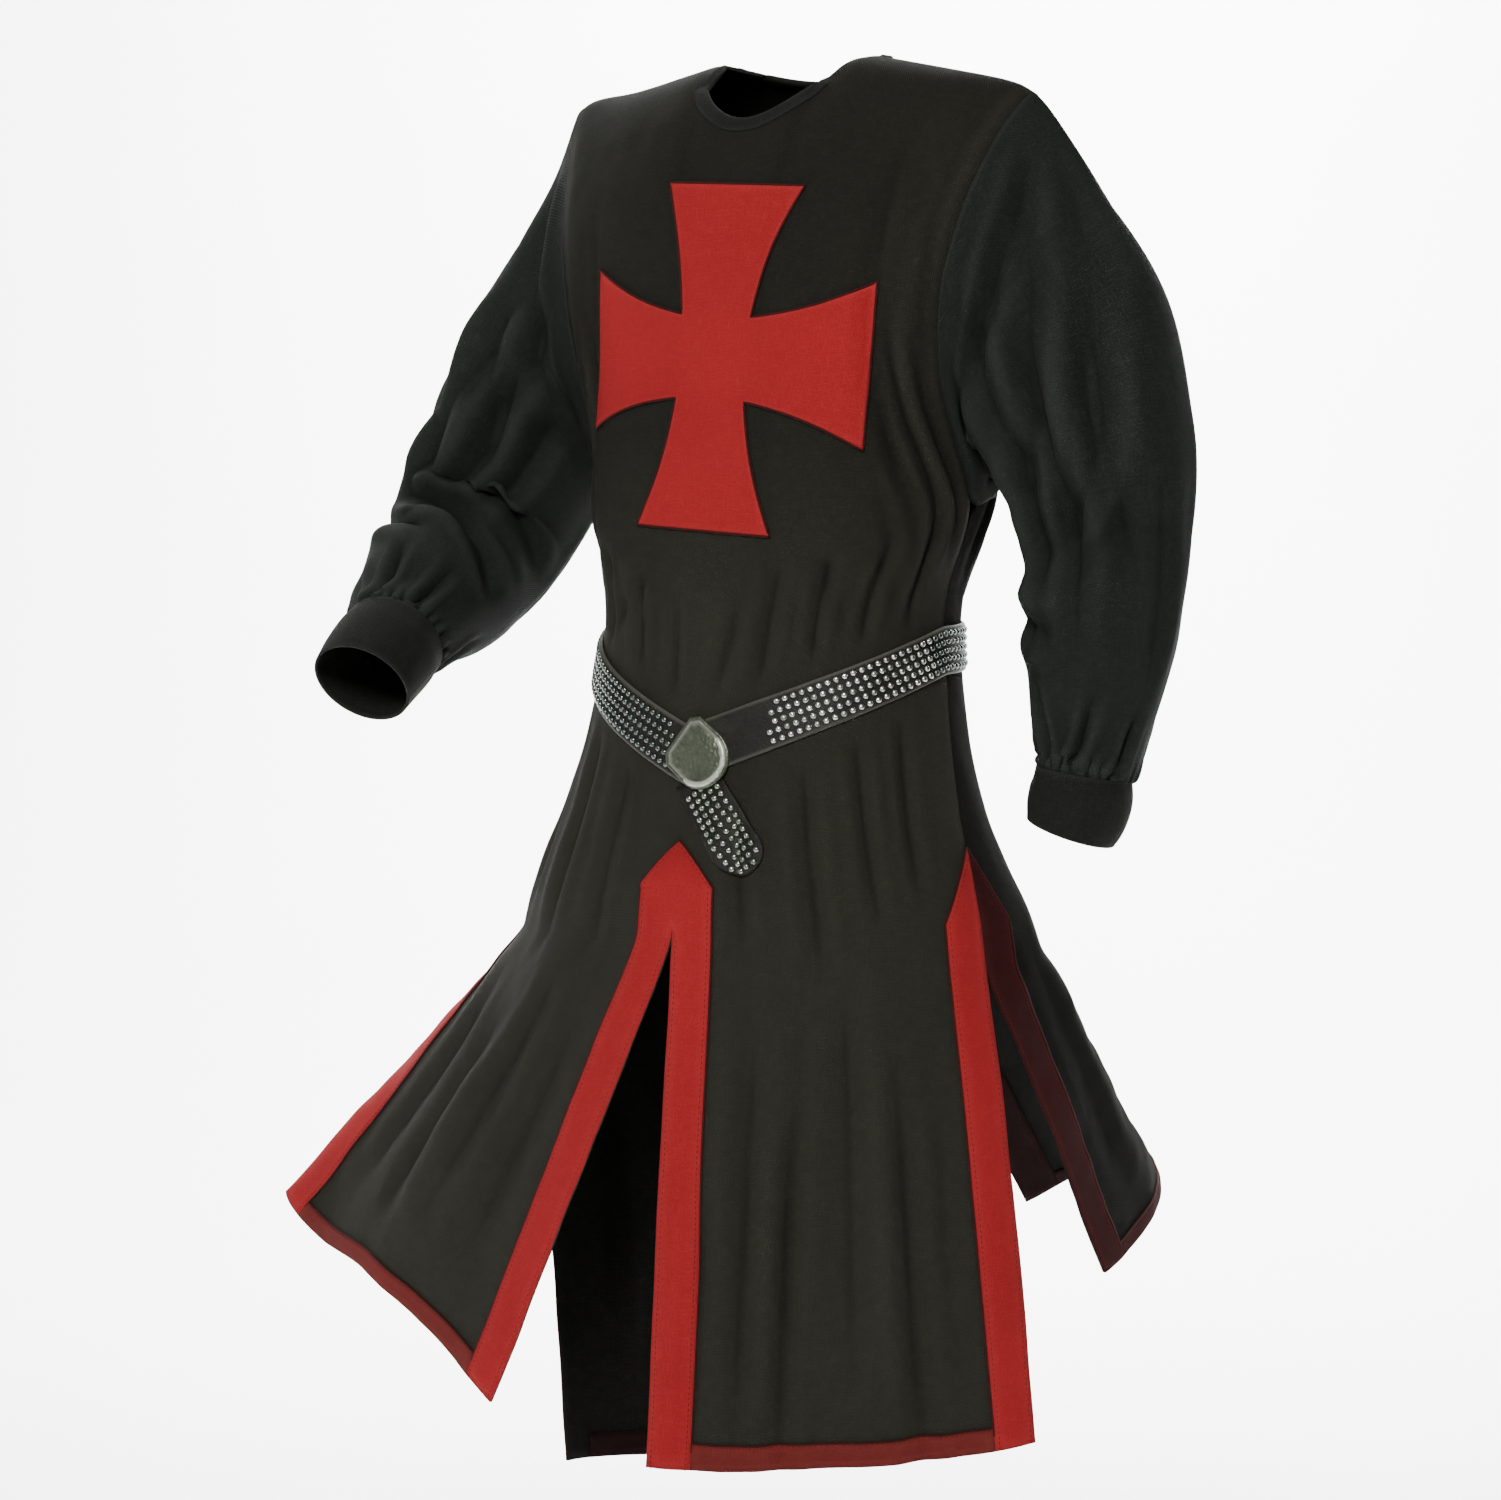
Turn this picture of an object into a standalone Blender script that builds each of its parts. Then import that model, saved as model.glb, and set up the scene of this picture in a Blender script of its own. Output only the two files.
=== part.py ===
"""Medieval surcoat: a long-sleeved tunic of dark cloth with a red cross on the chest, a skirt slit into
four panels, red bands along the slits and a studded leather belt. Metres, +Z up. The origin is the
middle of the neck, level with the top of the shoulders. The front faces -Y and the wearer's left is +X."""
import math
from collections import namedtuple

import bmesh
import bpy
from mathutils import Matrix, Vector

# Cloth walls and the gap at every seam and under every trim
CLOTH = 0.0016
TRIM = 0.0012
SEAM = 0.0003

# Neck, shoulders and armholes
NECK_HALF = 0.078
NECK_TOP = 0.012
NECK_FRONT = 0.084
NECK_BACK = 0.046
BINDING_WIDTH = 0.012
BINDING_LIFT = 0.0004
FINE_RISE = 0.0002
SHOULDER_TIP = 0.225
SHOULDER_FALL = 0.030
CHEST_DEPTH = 0.120
SHOULDER_ROUNDING = 4.0
ARMHOLE_DEPTH = 0.074
ARMHOLE_ROUNDING = 0.75

# Bands, belt and grid
BAND_WIDTH = 0.037
HEM_BAND = 0.020
BELT_WALL = 0.0032
PANEL_COLUMNS = 10
NECK_COLUMNS = 3
ARC_STEPS = 90

FRONT, BACK = -1, 1

# Level rings of the garment from the armpit down: half width, depths and middle
Section = namedtuple("Section", "z half_width front back mid_x mid_y")
SECTIONS = (
    Section(-0.345, 0.179, 0.120, 0.118, 0.000, -0.012),
    Section(-0.430, 0.158, 0.114, 0.110, 0.000, -0.026),
    Section(-0.500, 0.165, 0.118, 0.114, 0.000, -0.034),
    Section(-0.600, 0.180, 0.130, 0.126, 0.000, -0.040),
    Section(-0.700, 0.196, 0.142, 0.142, 0.000, -0.040),
    Section(-1.200, 0.222, 0.158, 0.168, 0.000, -0.034),
)

# Half width of the bodice at the armhole: rise is 0 at the armpit and 1 at the shoulder
ArmholeWidth = namedtuple("ArmholeWidth", "rise half_width")
ARMHOLE_WIDTHS = (
    ArmholeWidth(0.00, 0.179),
    ArmholeWidth(0.35, 0.180),
    ArmholeWidth(0.70, 0.198),
    ArmholeWidth(1.00, SHOULDER_TIP),
)
RISES = (1.0, 0.985, 0.95, 0.895, 0.82, 0.73, 0.63, 0.52, 0.41, 0.30, 0.19, 0.09)
SHOULDER_FADE = 12.0
BOX_OUT = 0.014
BOX_REACH = 0.09

# Height of each named row at the middle of the front, at the sides and at the middle of the back
Level = namedtuple("Level", "name front side back")
LEVELS = (
    Level("armpit", -0.345, -0.345, -0.345),
    Level("ribs", -0.405, -0.375, -0.375),
    Level("waist", -0.468, -0.410, -0.408),
    Level("belt_top", -0.530, -0.450, -0.448),
    Level("belt_bottom", -0.577, -0.489, -0.486),
    Level("hip", -0.600, -0.560, -0.556),
    Level("gable_top", -0.622, -0.628, -0.628),
    Level("gable_side", -0.652, -0.690, -0.670),
    Level("slit", -0.690, -0.722, -0.705),
)
DIP_SHARPNESS = 1.3
SKIRT_STEPS = 7

# Each skirt panel: its face, the turn of its two edges, the level of its hem at both when it hangs
# straight, and how far the hem rises between them
Panel = namedtuple("Panel", "name face first last hem_first hem_last hem_lift")
PANELS = (
    Panel("front_right", FRONT, -90.0, 0.0, -1.116, -1.150, 0.041),
    Panel("front_left", FRONT, 0.0, 90.0, -1.140, -1.130, -0.003),
    Panel("back_left", BACK, 90.0, 0.0, -1.138, -1.158, 0.000),
    Panel("back_right", BACK, 0.0, -90.0, -1.200, -1.200, -0.020),
)

# How far each panel's hem is swung aside, at turns across it
Swing = namedtuple("Swing", "turn panel x y")
SWINGS = (
    Swing(-90.0, "front_right", -0.240, -0.050),
    Swing(-68.0, "front_right", -0.196, -0.024),
    Swing(-45.0, "front_right", -0.185, 0.005),
    Swing(0.0, "front_right", -0.180, -0.010),
    Swing(0.0, "front_left", -0.016, -0.010),
    Swing(45.0, "front_left", -0.034, 0.034),
    Swing(90.0, "front_left", 0.002, 0.040),
    Swing(90.0, "back_left", -0.060, 0.262),
    Swing(45.0, "back_left", -0.092, 0.298),
    Swing(0.0, "back_left", -0.020, 0.270),
    Swing(0.0, "back_right", -0.040, 0.080),
    Swing(-45.0, "back_right", 0.030, 0.010),
    Swing(-90.0, "back_right", 0.094, -0.055),
)
SWING_SOFTNESS = 0.03

# Where the skirt already flares above the slits: turn round the body, half turn, heights, outward
Flare = namedtuple("Flare", "around half_turn top bottom out")
FLARES = (
    Flare(125.0, 30.0, -0.540, -0.760, 0.032),
    Flare(145.0, 34.0, -0.540, -0.950, 0.040),
    Flare(-85.0, 38.0, -0.520, -0.760, 0.046),
    Flare(-92.0, 14.0, -0.690, -0.840, 0.014),
)

# Soft vertical folds: turn round the body (0 front, 90 left, 180 back) and height of the middle, half
# height, half turn, depth outward
Fold = namedtuple("Fold", "around z half_height half_turn out")
FOLDS = (
    Fold(62.0, -0.20, 0.15, 7.0, -0.007),
    Fold(76.0, -0.24, 0.12, 6.0, 0.006),
    Fold(-66.0, -0.27, 0.12, 7.0, -0.006),
    Fold(34.0, -0.90, 0.20, 8.0, -0.009),
    Fold(52.0, -0.95, 0.22, 8.0, 0.008),
    Fold(70.0, -0.90, 0.20, 7.0, -0.005),
    Fold(-38.0, -0.92, 0.22, 10.0, 0.007),
    Fold(-60.0, -0.90, 0.20, 9.0, -0.006),
    Fold(160.0, -0.62, 0.14, 8.0, 0.006),
    Fold(204.0, -0.60, 0.15, 8.0, 0.006),
    Fold(180.0, -0.30, 0.15, 12.0, -0.006),
    Fold(140.0, -0.92, 0.20, 9.0, -0.009),
    Fold(118.0, -0.95, 0.20, 8.0, 0.008),
    Fold(222.0, -0.95, 0.22, 9.0, 0.010),
    Fold(242.0, -0.92, 0.20, 8.0, -0.008),
    Fold(122.0, -0.20, 0.14, 8.0, -0.006),
    Fold(238.0, -0.20, 0.14, 8.0, -0.006),
)

# The arms of the cross pattee on the chest
CROSS_MIDDLE = (0.001, -0.233)
CROSS_TILT = -3.0
CROSS_REACH = 0.140
CROSS_END = 0.067
CROSS_WAIST = 0.034
CROSS_SIDE_BOW = 0.005
CROSS_SIDE_STEPS = 5
FINE_TURN = 0.5

# The prisms that cut the cross and the belt's free end out of the front
CUTTER_FRONT = -0.26
CUTTER_DEPTH = 0.24

# Arms: the middle, across and front-to-back half sizes of each ring; the last four are the cuff's
Ring = namedtuple("Ring", "x y z across depth")
ARM_LEFT = (
    Ring(0.236, 0.000, -0.200, 0.090, 0.082),
    Ring(0.282, 0.000, -0.306, 0.075, 0.078),
    Ring(0.294, 0.000, -0.380, 0.064, 0.070),
    Ring(0.300, -0.016, -0.440, 0.060, 0.062),
    Ring(0.301, -0.034, -0.510, 0.047, 0.050),
    Ring(0.302, -0.041, -0.545, 0.039, 0.040),
    Ring(0.300, -0.044, -0.560, 0.036, 0.037),
    Ring(0.298, -0.045, -0.577, 0.039, 0.038),
    Ring(0.294, -0.046, -0.593, 0.038, 0.037),
    Ring(0.290, -0.047, -0.606, 0.034, 0.034),
)
ARM_RIGHT = (
    Ring(-0.236, 0.000, -0.205, 0.091, 0.082),
    Ring(-0.276, -0.016, -0.290, 0.087, 0.080),
    Ring(-0.306, -0.040, -0.370, 0.080, 0.074),
    Ring(-0.303, -0.092, -0.416, 0.073, 0.068),
    Ring(-0.296, -0.145, -0.442, 0.060, 0.056),
    Ring(-0.286, -0.184, -0.462, 0.047, 0.045),
    Ring(-0.283, -0.197, -0.469, 0.043, 0.041),
    Ring(-0.281, -0.212, -0.478, 0.045, 0.042),
    Ring(-0.279, -0.230, -0.490, 0.044, 0.041),
    Ring(-0.277, -0.246, -0.502, 0.042, 0.039),
)
CUFF_RINGS = 3
ARM_STEP = 0.01
ARM_FRONT = (0.0, -1.0, 0.3)
SLEEVE_HEAD = 2.2
SLEEVE_STEPS = 20
CUFF_STEPS = 3
GATHER_DEPTH = 0.004
GATHER_REACH = 0.12
CUFF_WALL = 0.0024

# Creases of the sleeves: share along the sleeve, its half length, turn round it, its half turn, depth
Crease = namedtuple("Crease", "share half_share turn half_turn out")
CREASES_LEFT = (
    Crease(0.18, 0.10, 0.0, 50.0, 0.012),
    Crease(0.30, 0.22, 95.0, 18.0, -0.009),
    Crease(0.34, 0.20, 130.0, 14.0, 0.007),
    Crease(0.50, 0.05, 190.0, 40.0, -0.010),
    Crease(0.56, 0.05, 120.0, 50.0, 0.006),
    Crease(0.80, 0.07, 80.0, 40.0, -0.006),
    Crease(0.34, 0.20, 250.0, 18.0, -0.008),
)
CREASES_RIGHT = (
    Crease(0.30, 0.20, 100.0, 18.0, -0.009),
    Crease(0.40, 0.16, 60.0, 18.0, 0.006),
    Crease(0.56, 0.05, 110.0, 60.0, -0.009),
    Crease(0.63, 0.05, 80.0, 60.0, 0.006),
    Crease(0.80, 0.06, 100.0, 50.0, -0.006),
    Crease(0.34, 0.20, 255.0, 18.0, -0.008),
)

# Belt hardware and the free end: places are x and height on the front of the garment
BUCKLE_PLACE = (0.014, -0.554)
BUCKLE_TILT = 35.0
BUCKLE_WIDTH = 0.055
BUCKLE_HEIGHT = 0.050
BUCKLE_PLATE = 0.0024
BUCKLE_CORNER = 0.007
RIM_INSET = 0.0015
RIM_WIDTH = 0.0048
RIM_HEIGHT = 0.0030
ARC_POINTS = 12
TONGUE_TOP = (0.021, -0.583)
TONGUE_TIP = (0.068, -0.643)
TONGUE_HALF = 0.0205
TONGUE_SLANT = 0.020
TONGUE_WALL = 0.003
TONGUE_STEPS = 10

# What of the front's form the chest's and the belt's pieces are cut from: columns left out at each side,
# and rows left out under the neck
CHEST_SPARE = 2
BELT_SPARE = 6
NECK_SPARE = 2


def bump(offset, reach):
    """A smooth hill of height 1 at offset 0 that fades past its reach."""
    return math.exp(-(offset / reach) ** 2)


def smooth(value):
    """Eases from 0 to 1."""
    value = min(max(value, 0.0), 1.0)
    return value * value * (3.0 - 2.0 * value)


def curve(places, values, position):
    """A smooth curve through the values at the places, read at a position between them."""
    if places[0] > places[-1]:
        places, values = places[::-1], values[::-1]
    position = min(max(position, places[0]), places[-1])
    step = max(i for i in range(len(places) - 1) if places[i] <= position)

    def slope(i):
        low, high = max(i - 1, 0), min(i + 1, len(places) - 1)
        return (values[high] - values[low]) / (places[high] - places[low])

    span = places[step + 1] - places[step]
    t = (position - places[step]) / span
    return ((2 * t**3 - 3 * t**2 + 1) * values[step] + (t**3 - 2 * t**2 + t) * span * slope(step)
            + (3 * t**2 - 2 * t**3) * values[step + 1] + (t**3 - t**2) * span * slope(step + 1))


def along(rows, position, field):
    """A smooth curve through the column `field` of a table whose first column is the position."""
    return curve([row[0] for row in rows], [getattr(row, field) for row in rows], position)


def around_of(face, turn):
    """Turn round the whole body: 0 in front, 90 at the wearer's left, 180 behind, -90 at the right."""
    return turn if face == FRONT else 180.0 - turn


def apart(first, second):
    """The shorter way round between two turns."""
    return (first - second + 180.0) % 360.0 - 180.0


def cloth_out(face, turn, z):
    """How far the folds and flares push the cloth outward."""
    around = around_of(face, turn)
    out = 0.0
    for fold in FOLDS:
        out += fold.out * bump(apart(around, fold.around), fold.half_turn) * bump(z - fold.z, fold.half_height)
    for flare in FLARES:
        share = smooth((flare.top - z) / (flare.top - flare.bottom))
        out += flare.out * bump(apart(around, flare.around), flare.half_turn) * share
    corner = math.sin(math.radians(2.0 * turn)) ** 2
    return out + BOX_OUT * corner * bump(z - LEVELS[0].side, BOX_REACH)


def ring_point(face, turn, z):
    """A point of the level ring at height z, at a turn from the middle of the face."""
    half_width, front, back, mid_x, mid_y = (
        along(SECTIONS, z, field) for field in ("half_width", "front", "back", "mid_x", "mid_y"))
    angle = math.radians(turn)
    depth = front if face == FRONT else back
    out = cloth_out(face, turn, z)
    return Vector((mid_x + (half_width + out) * math.sin(angle),
                   mid_y + face * (depth + out) * math.cos(angle), z))


def bodice_point(face, turn, rise):
    """A point above the armpit: rise is 0 at the armpit and 1 on the shoulder. The level ring is an
    ellipse that stops at the armhole, where its depth is the armhole's."""
    depth = CHEST_DEPTH * math.sqrt(max(1.0 - rise ** SHOULDER_ROUNDING, 0.0))
    edge_depth = ARMHOLE_DEPTH * max(math.sin(math.pi * rise), 0.0) ** ARMHOLE_ROUNDING
    edge_angle = math.acos(min(edge_depth / max(depth, 1e-9), 1.0)) if rise < 1.0 else 0.5 * math.pi
    angle = edge_angle * turn / 90.0
    x = along(ARMHOLE_WIDTHS, rise, "half_width") * math.sin(angle) / math.sin(edge_angle)
    armpit = LEVELS[0].side
    slope = max(abs(x) - NECK_HALF, 0.0) / (SHOULDER_TIP - NECK_HALF)
    z = armpit + (NECK_TOP - SHOULDER_FALL * slope - armpit) * rise
    mid_y = SECTIONS[0].mid_y * (1.0 - rise)
    out = cloth_out(face, turn, z) * min(1.0, SHOULDER_FADE * (1.0 - rise))
    return Vector((x + out * math.sin(angle), mid_y + face * (depth + out) * math.cos(angle), z))


def level_height(level, face, turn):
    """Height of a named row at a turn from the middle of the face."""
    middle = level.front if face == FRONT else level.back
    return level.side + (middle - level.side) * (1.0 - abs(turn) / 90.0) ** DIP_SHARPNESS


def swing_of(panel, turn, field):
    """Sideways swing of the hem of a panel at a turn."""
    return along([swing for swing in SWINGS if swing.panel == panel.name], turn, field)


def skirt_point(panel, turn, fall):
    """A point of a skirt panel: fall is 0 at the top of the slits and 1 at the hem."""
    top = level_height(LEVELS[-1], panel.face, turn)
    share = (turn - panel.first) / (panel.last - panel.first)
    hem = panel.hem_first + (panel.hem_last - panel.hem_first) * share
    hem += panel.hem_lift * math.sin(math.pi * share)
    length = top - hem
    straight = ring_point(panel.face, turn, top - length * fall)
    swing = Vector((swing_of(panel, turn, "x"), swing_of(panel, turn, "y"), 0.0))
    aside = (ring_point(panel.face, turn, hem) + swing - ring_point(panel.face, turn, top)).to_2d()
    rise = length - math.sqrt(length**2 - aside.length_squared)
    soft = math.hypot(1.0, SWING_SOFTNESS) - SWING_SOFTNESS
    share = (math.hypot(fall, SWING_SOFTNESS) - SWING_SOFTNESS) / soft
    return straight + (swing + Vector((0.0, 0.0, rise))) * share


def column_turns(make_point, first, last):
    """Turns of a panel's columns: a band's width in from each edge, and even between."""
    turns = [first + (last - first) * step / ARC_STEPS for step in range(ARC_STEPS + 1)]
    points = [make_point(turn) for turn in turns]
    lengths = [0.0]
    for start, end in zip(points, points[1:]):
        lengths.append(lengths[-1] + (end - start).length)
    inner = lengths[-1] - 2.0 * BAND_WIDTH
    wanted = [0.0]
    wanted += [BAND_WIDTH + inner * i / (PANEL_COLUMNS - 2) for i in range(PANEL_COLUMNS - 1)]
    wanted.append(lengths[-1])
    result = []
    for distance in wanted:
        step = max(i for i in range(ARC_STEPS) if lengths[i] <= distance + 1e-9)
        part = (distance - lengths[step]) / (lengths[step + 1] - lengths[step])
        result.append(turns[step] + (turns[step + 1] - turns[step]) * part)
    result[0], result[-1] = first, last
    return result


def shoulder_turns(panel):
    """Turns of a panel's columns at the shoulder: the third from the middle meets the neck's corner."""
    outward = 1.0 if max(panel.first, panel.last) > 0.0 else -1.0
    shares = [NECK_HALF * i / NECK_COLUMNS for i in range(NECK_COLUMNS + 1)]
    rest = PANEL_COLUMNS - NECK_COLUMNS - 1
    start = NECK_HALF + BINDING_WIDTH
    shares += [start + (SHOULDER_TIP - start) * i / rest for i in range(rest + 1)]
    turns = [outward * math.degrees(math.asin(min(x / SHOULDER_TIP, 1.0))) for x in shares]
    return turns if panel.first == 0.0 else turns[::-1]


def neck_rise(face, turn_at):
    """Rise at which a column meets the neckline."""
    neck_depth = NECK_FRONT if face == FRONT else NECK_BACK

    def outside(rise):
        point = bodice_point(face, turn_at(rise), rise)
        return math.hypot(point.x / NECK_HALF, point.y / neck_depth) > 1.0

    low, high = 0.5, 1.0
    while high - low > 1e-7:
        middle = 0.5 * (low + high)
        low, high = (middle, high) if outside(middle) else (low, middle)
    return low


def binding_rise(face, turn_at, end):
    """Rise a binding's width of cloth below the top end of a column."""
    rise, length = end, 0.0
    point = bodice_point(face, turn_at(rise), rise)
    while length < BINDING_WIDTH:
        rise -= FINE_RISE
        lower = bodice_point(face, turn_at(rise), rise)
        length += (lower - point).length
        point = lower
    return rise


def panel_grid(panel):
    """Rows of points of one panel, from the neck or shoulder down to the hem."""
    armpit_turns = column_turns(lambda turn: bodice_point(panel.face, turn, 0.0), panel.first, panel.last)
    top_turns = shoulder_turns(panel)
    columns = range(PANEL_COLUMNS + 1)
    rows = []
    ends = []
    for column in columns:
        def turn_at(rise, column=column):
            return armpit_turns[column] + (top_turns[column] - armpit_turns[column]) * rise
        from_middle = column if panel.first == 0.0 else PANEL_COLUMNS - column
        ends.append((turn_at, neck_rise(panel.face, turn_at) if from_middle < NECK_COLUMNS else 1.0))
    for step, rise in enumerate(RISES):
        row = []
        for turn_at, end in ends:
            place = binding_rise(panel.face, turn_at, end) if step == 1 else rise * end
            row.append(bodice_point(panel.face, turn_at(place), place))
        rows.append(row)
    for level in LEVELS:
        def at_level(turn, level=level):
            return ring_point(panel.face, turn, level_height(level, panel.face, turn))
        rows.append([at_level(turn) for turn in column_turns(at_level, panel.first, panel.last)])
    hem_share = HEM_BAND / (LEVELS[-1].side - panel.hem_last)
    falls = [step / SKIRT_STEPS * (1.0 - hem_share) for step in range(1, SKIRT_STEPS + 1)] + [1.0]
    for fall in falls:
        def at_fall(turn, fall=fall):
            return skirt_point(panel, turn, fall)
        rows.append([at_fall(turn) for turn in column_turns(at_fall, panel.first, panel.last)])
    return rows


ROW_NAMES = ["rise"] * len(RISES) + [level.name for level in LEVELS] + ["skirt"] * SKIRT_STEPS + ["hem"]


def row_of(name):
    return ROW_NAMES.index(name)


def key_of(point):
    """Points closer than a micrometre count as one."""
    return tuple(round(value * 1e6) for value in point)


def grid_cells(grid, rows, columns, lean):
    """Triangles of a grid's cells, each cut from corner to corner; lean picks the corner by column."""
    cells = []
    for row in rows:
        for column in columns:
            a, b = grid[row][column], grid[row][column + 1]
            c, d = grid[row + 1][column + 1], grid[row + 1][column]
            cells += [(a, c, b), (a, d, c)] if lean(column) else [(a, d, b), (b, d, c)]
    return [cell for cell in cells if len({key_of(point) for point in cell}) == 3]


def panel_lean(column):
    """Cells near a panel's first edge rise towards it, and the others rise towards its last edge."""
    return column < PANEL_COLUMNS // 2


class Cloth:
    """Every sheet of cloth, with a normal at each point that its neighbours share."""

    def __init__(self):
        self.normals = {}

    def learn(self, cells):
        own = {}
        for a, b, c in cells:
            across = (b - a).cross(c - a)
            for point in (a, b, c):
                own.setdefault(key_of(point), Vector()).__iadd__(across)
        for key, across in own.items():
            self.normals.setdefault(key, Vector()).__iadd__(across.normalized())

    def normal(self, point):
        return self.normals[key_of(point)].normalized()


def wall(name, cells, cloth, lift, thickness, pull=0.0):
    """A closed wall over triangles of cloth, lifted off them, with its open edges pulled in by `pull`."""
    corners = {}
    for cell in cells:
        for point in cell:
            corners.setdefault(key_of(point), point)
    edges = {}
    for cell in cells:
        for start, end in zip(cell, cell[1:] + cell[:1]):
            edges[(key_of(start), key_of(end))] = True
    border = [edge for edge in edges if (edge[1], edge[0]) not in edges]
    inward = {}
    for start, end in border:
        side = cloth.normal(corners[start]).cross(corners[end] - corners[start]).normalized()
        for key in (start, end):
            inward.setdefault(key, Vector()).__iadd__(side)
    mesh = bpy.data.meshes.new(name)
    form = bmesh.new()
    faces = {}
    for key, point in corners.items():
        normal = cloth.normal(point)
        base = point + inward[key].normalized() * pull if key in inward else point
        faces[key] = (form.verts.new(base + normal * lift), form.verts.new(base + normal * (lift + thickness)))
    for cell in cells:
        keys = [key_of(point) for point in cell]
        form.faces.new([faces[key][1] for key in keys])
        form.faces.new([faces[key][0] for key in reversed(keys)])
    for start, end in border:
        inner_start, outer_start = faces[start]
        inner_end, outer_end = faces[end]
        if start < end:
            form.faces.new((outer_end, outer_start, inner_start))
            form.faces.new((outer_end, inner_start, inner_end))
        else:
            form.faces.new((outer_end, outer_start, inner_end))
            form.faces.new((outer_start, inner_start, inner_end))
    form.to_mesh(mesh)
    form.free()
    return mesh


def tube_place(rings, share):
    """Middle and half sizes of a sleeve or cuff at a share of its length."""
    places = list(range(len(rings)))
    return [curve(places, [getattr(ring, field) for ring in rings], share * places[-1])
            for field in Ring._fields]


def tube_ring(rings, share, outward, count, swell):
    """A ring of points round an arm, from its outer side round its front; swell moves each outward."""
    x, y, z, across, depth = tube_place(rings, share)
    after = Vector(tube_place(rings, min(share + ARM_STEP, 1.0))[:3])
    before = Vector(tube_place(rings, max(share - ARM_STEP, 0.0))[:3])
    down = (after - before).normalized()
    side = Vector((outward, 0.0, 0.0))
    side = (side - down * side.dot(down)).normalized()
    ahead = side.cross(down) * outward
    if ahead.dot(Vector(ARM_FRONT)) < 0.0:
        ahead = -ahead
    points = []
    for i in range(count):
        angle = 2.0 * math.pi * i / count
        out = swell(i, math.degrees(angle), share)
        points.append(Vector((x, y, z)) + side * (across + out) * math.cos(angle)
                      + ahead * (depth + out) * math.sin(angle))
    return points


def armhole_loop(grids, outward):
    """Points round an armhole, from the shoulder down the front and up the back."""
    front, back = ("front_left", "back_left") if outward > 0 else ("front_right", "back_right")
    bottom = row_of("armpit")
    front_column = PANEL_COLUMNS if outward > 0 else 0
    back_column = 0 if outward > 0 else PANEL_COLUMNS
    down = [grids[front][row][front_column] for row in range(bottom + 1)]
    up = [grids[back][row][back_column] for row in range(bottom - 1, 0, -1)]
    return down + up


def arm_grids(loop, rings, creases, outward):
    """Rings of points of a sleeve, from the armhole to the cuff's seam, and of its cuff."""
    count = len(loop)
    middle = sum(loop, Vector()) / count
    path = (Ring(middle.x, middle.y, middle.z, 0.001, 0.001),) + rings
    first = 1.0 / len(rings)
    seam = 1.0 - CUFF_RINGS * first

    def swell(index, turn, share):
        gather = smooth((share - seam + GATHER_REACH) / GATHER_REACH) if share < seam - 1e-6 else 0.0
        out = GATHER_DEPTH * gather * (1.0 if index % 2 else -1.0)
        for crease in creases:
            away = apart(turn, crease.turn)
            out += crease.out * bump(away, crease.half_turn) * bump(share / seam - crease.share, crease.half_share)
        return out

    def plain(index, turn, share):
        return 0.0

    sleeve = [loop]
    for step in range(1, SLEEVE_STEPS + 1):
        share = seam * step / SLEEVE_STEPS
        ring = tube_ring(path, max(share, first), outward, count, swell)
        centre = Vector(tube_place(path, share)[:3])
        shift = centre - Vector(tube_place(path, max(share, first))[:3])
        size = smooth(share / (SLEEVE_HEAD * first))
        sleeve.append([(edge - middle + centre) * (1.0 - size) + (point + shift) * size
                       for edge, point in zip(loop, ring)])
    cuff = [sleeve[-1]]
    for step in range(1, CUFF_STEPS + 1):
        share = seam + (1.0 - seam) * step / CUFF_STEPS
        cuff.append(tube_ring(path, share, outward, count, plain))
    return sleeve, cuff


def ring_cells(rows):
    """Triangles between closed rings of points."""
    count = len(rows[0])
    cells = []
    for upper, lower in zip(rows, rows[1:]):
        for i in range(count):
            a, b = upper[i], upper[(i + 1) % count]
            c, d = lower[(i + 1) % count], lower[i]
            cells += [(a, c, b), (a, d, c)] if i < count // 2 else [(a, d, b), (b, d, c)]
    return cells


def flip(cells):
    return [(a, c, b) for a, b, c in cells]


def material(name, colour, roughness, metallic=0.0):
    slot = bpy.data.materials.new(name)
    slot.use_nodes = True
    shader = slot.node_tree.nodes["Principled BSDF"]
    shader.inputs["Base Color"].default_value = (*colour, 1.0)
    shader.inputs["Roughness"].default_value = roughness
    shader.inputs["Metallic"].default_value = metallic
    return slot


def add_piece(collection, name, mesh, slot):
    """One named object of the garment."""
    piece = bpy.data.objects.new(name, mesh)
    mesh.materials.append(slot)
    collection.objects.link(piece)
    return piece


def band_cells(grids, first, second, start):
    """Triangles of a slit's band: a leg along each panel's edge and the gable that joins them."""
    cells = []
    for name, column in ((first, PANEL_COLUMNS - 1), (second, 0)):
        gable = grid_cells(grids[name], [row_of("gable_top")], [column], panel_lean)
        cells.append(gable[1])
        cells += grid_cells(grids[name], range(start, len(ROW_NAMES) - 1), [column], panel_lean)
    return cells


def chest_x(across, z):
    """Place across the chest, at height z, of a point that lies `across` along the cloth."""
    rise = (z - LEVELS[0].side) / (NECK_TOP - LEVELS[0].side)

    def at(turn):
        return bodice_point(FRONT, turn, rise) if rise > 0.0 else ring_point(FRONT, turn, z)

    turn, length, point = 0.0, 0.0, at(0.0)
    while length < abs(across):
        turn += math.copysign(FINE_TURN, across)
        following = at(turn)
        length += (following - point).length
        point = following
    return point.x


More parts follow.
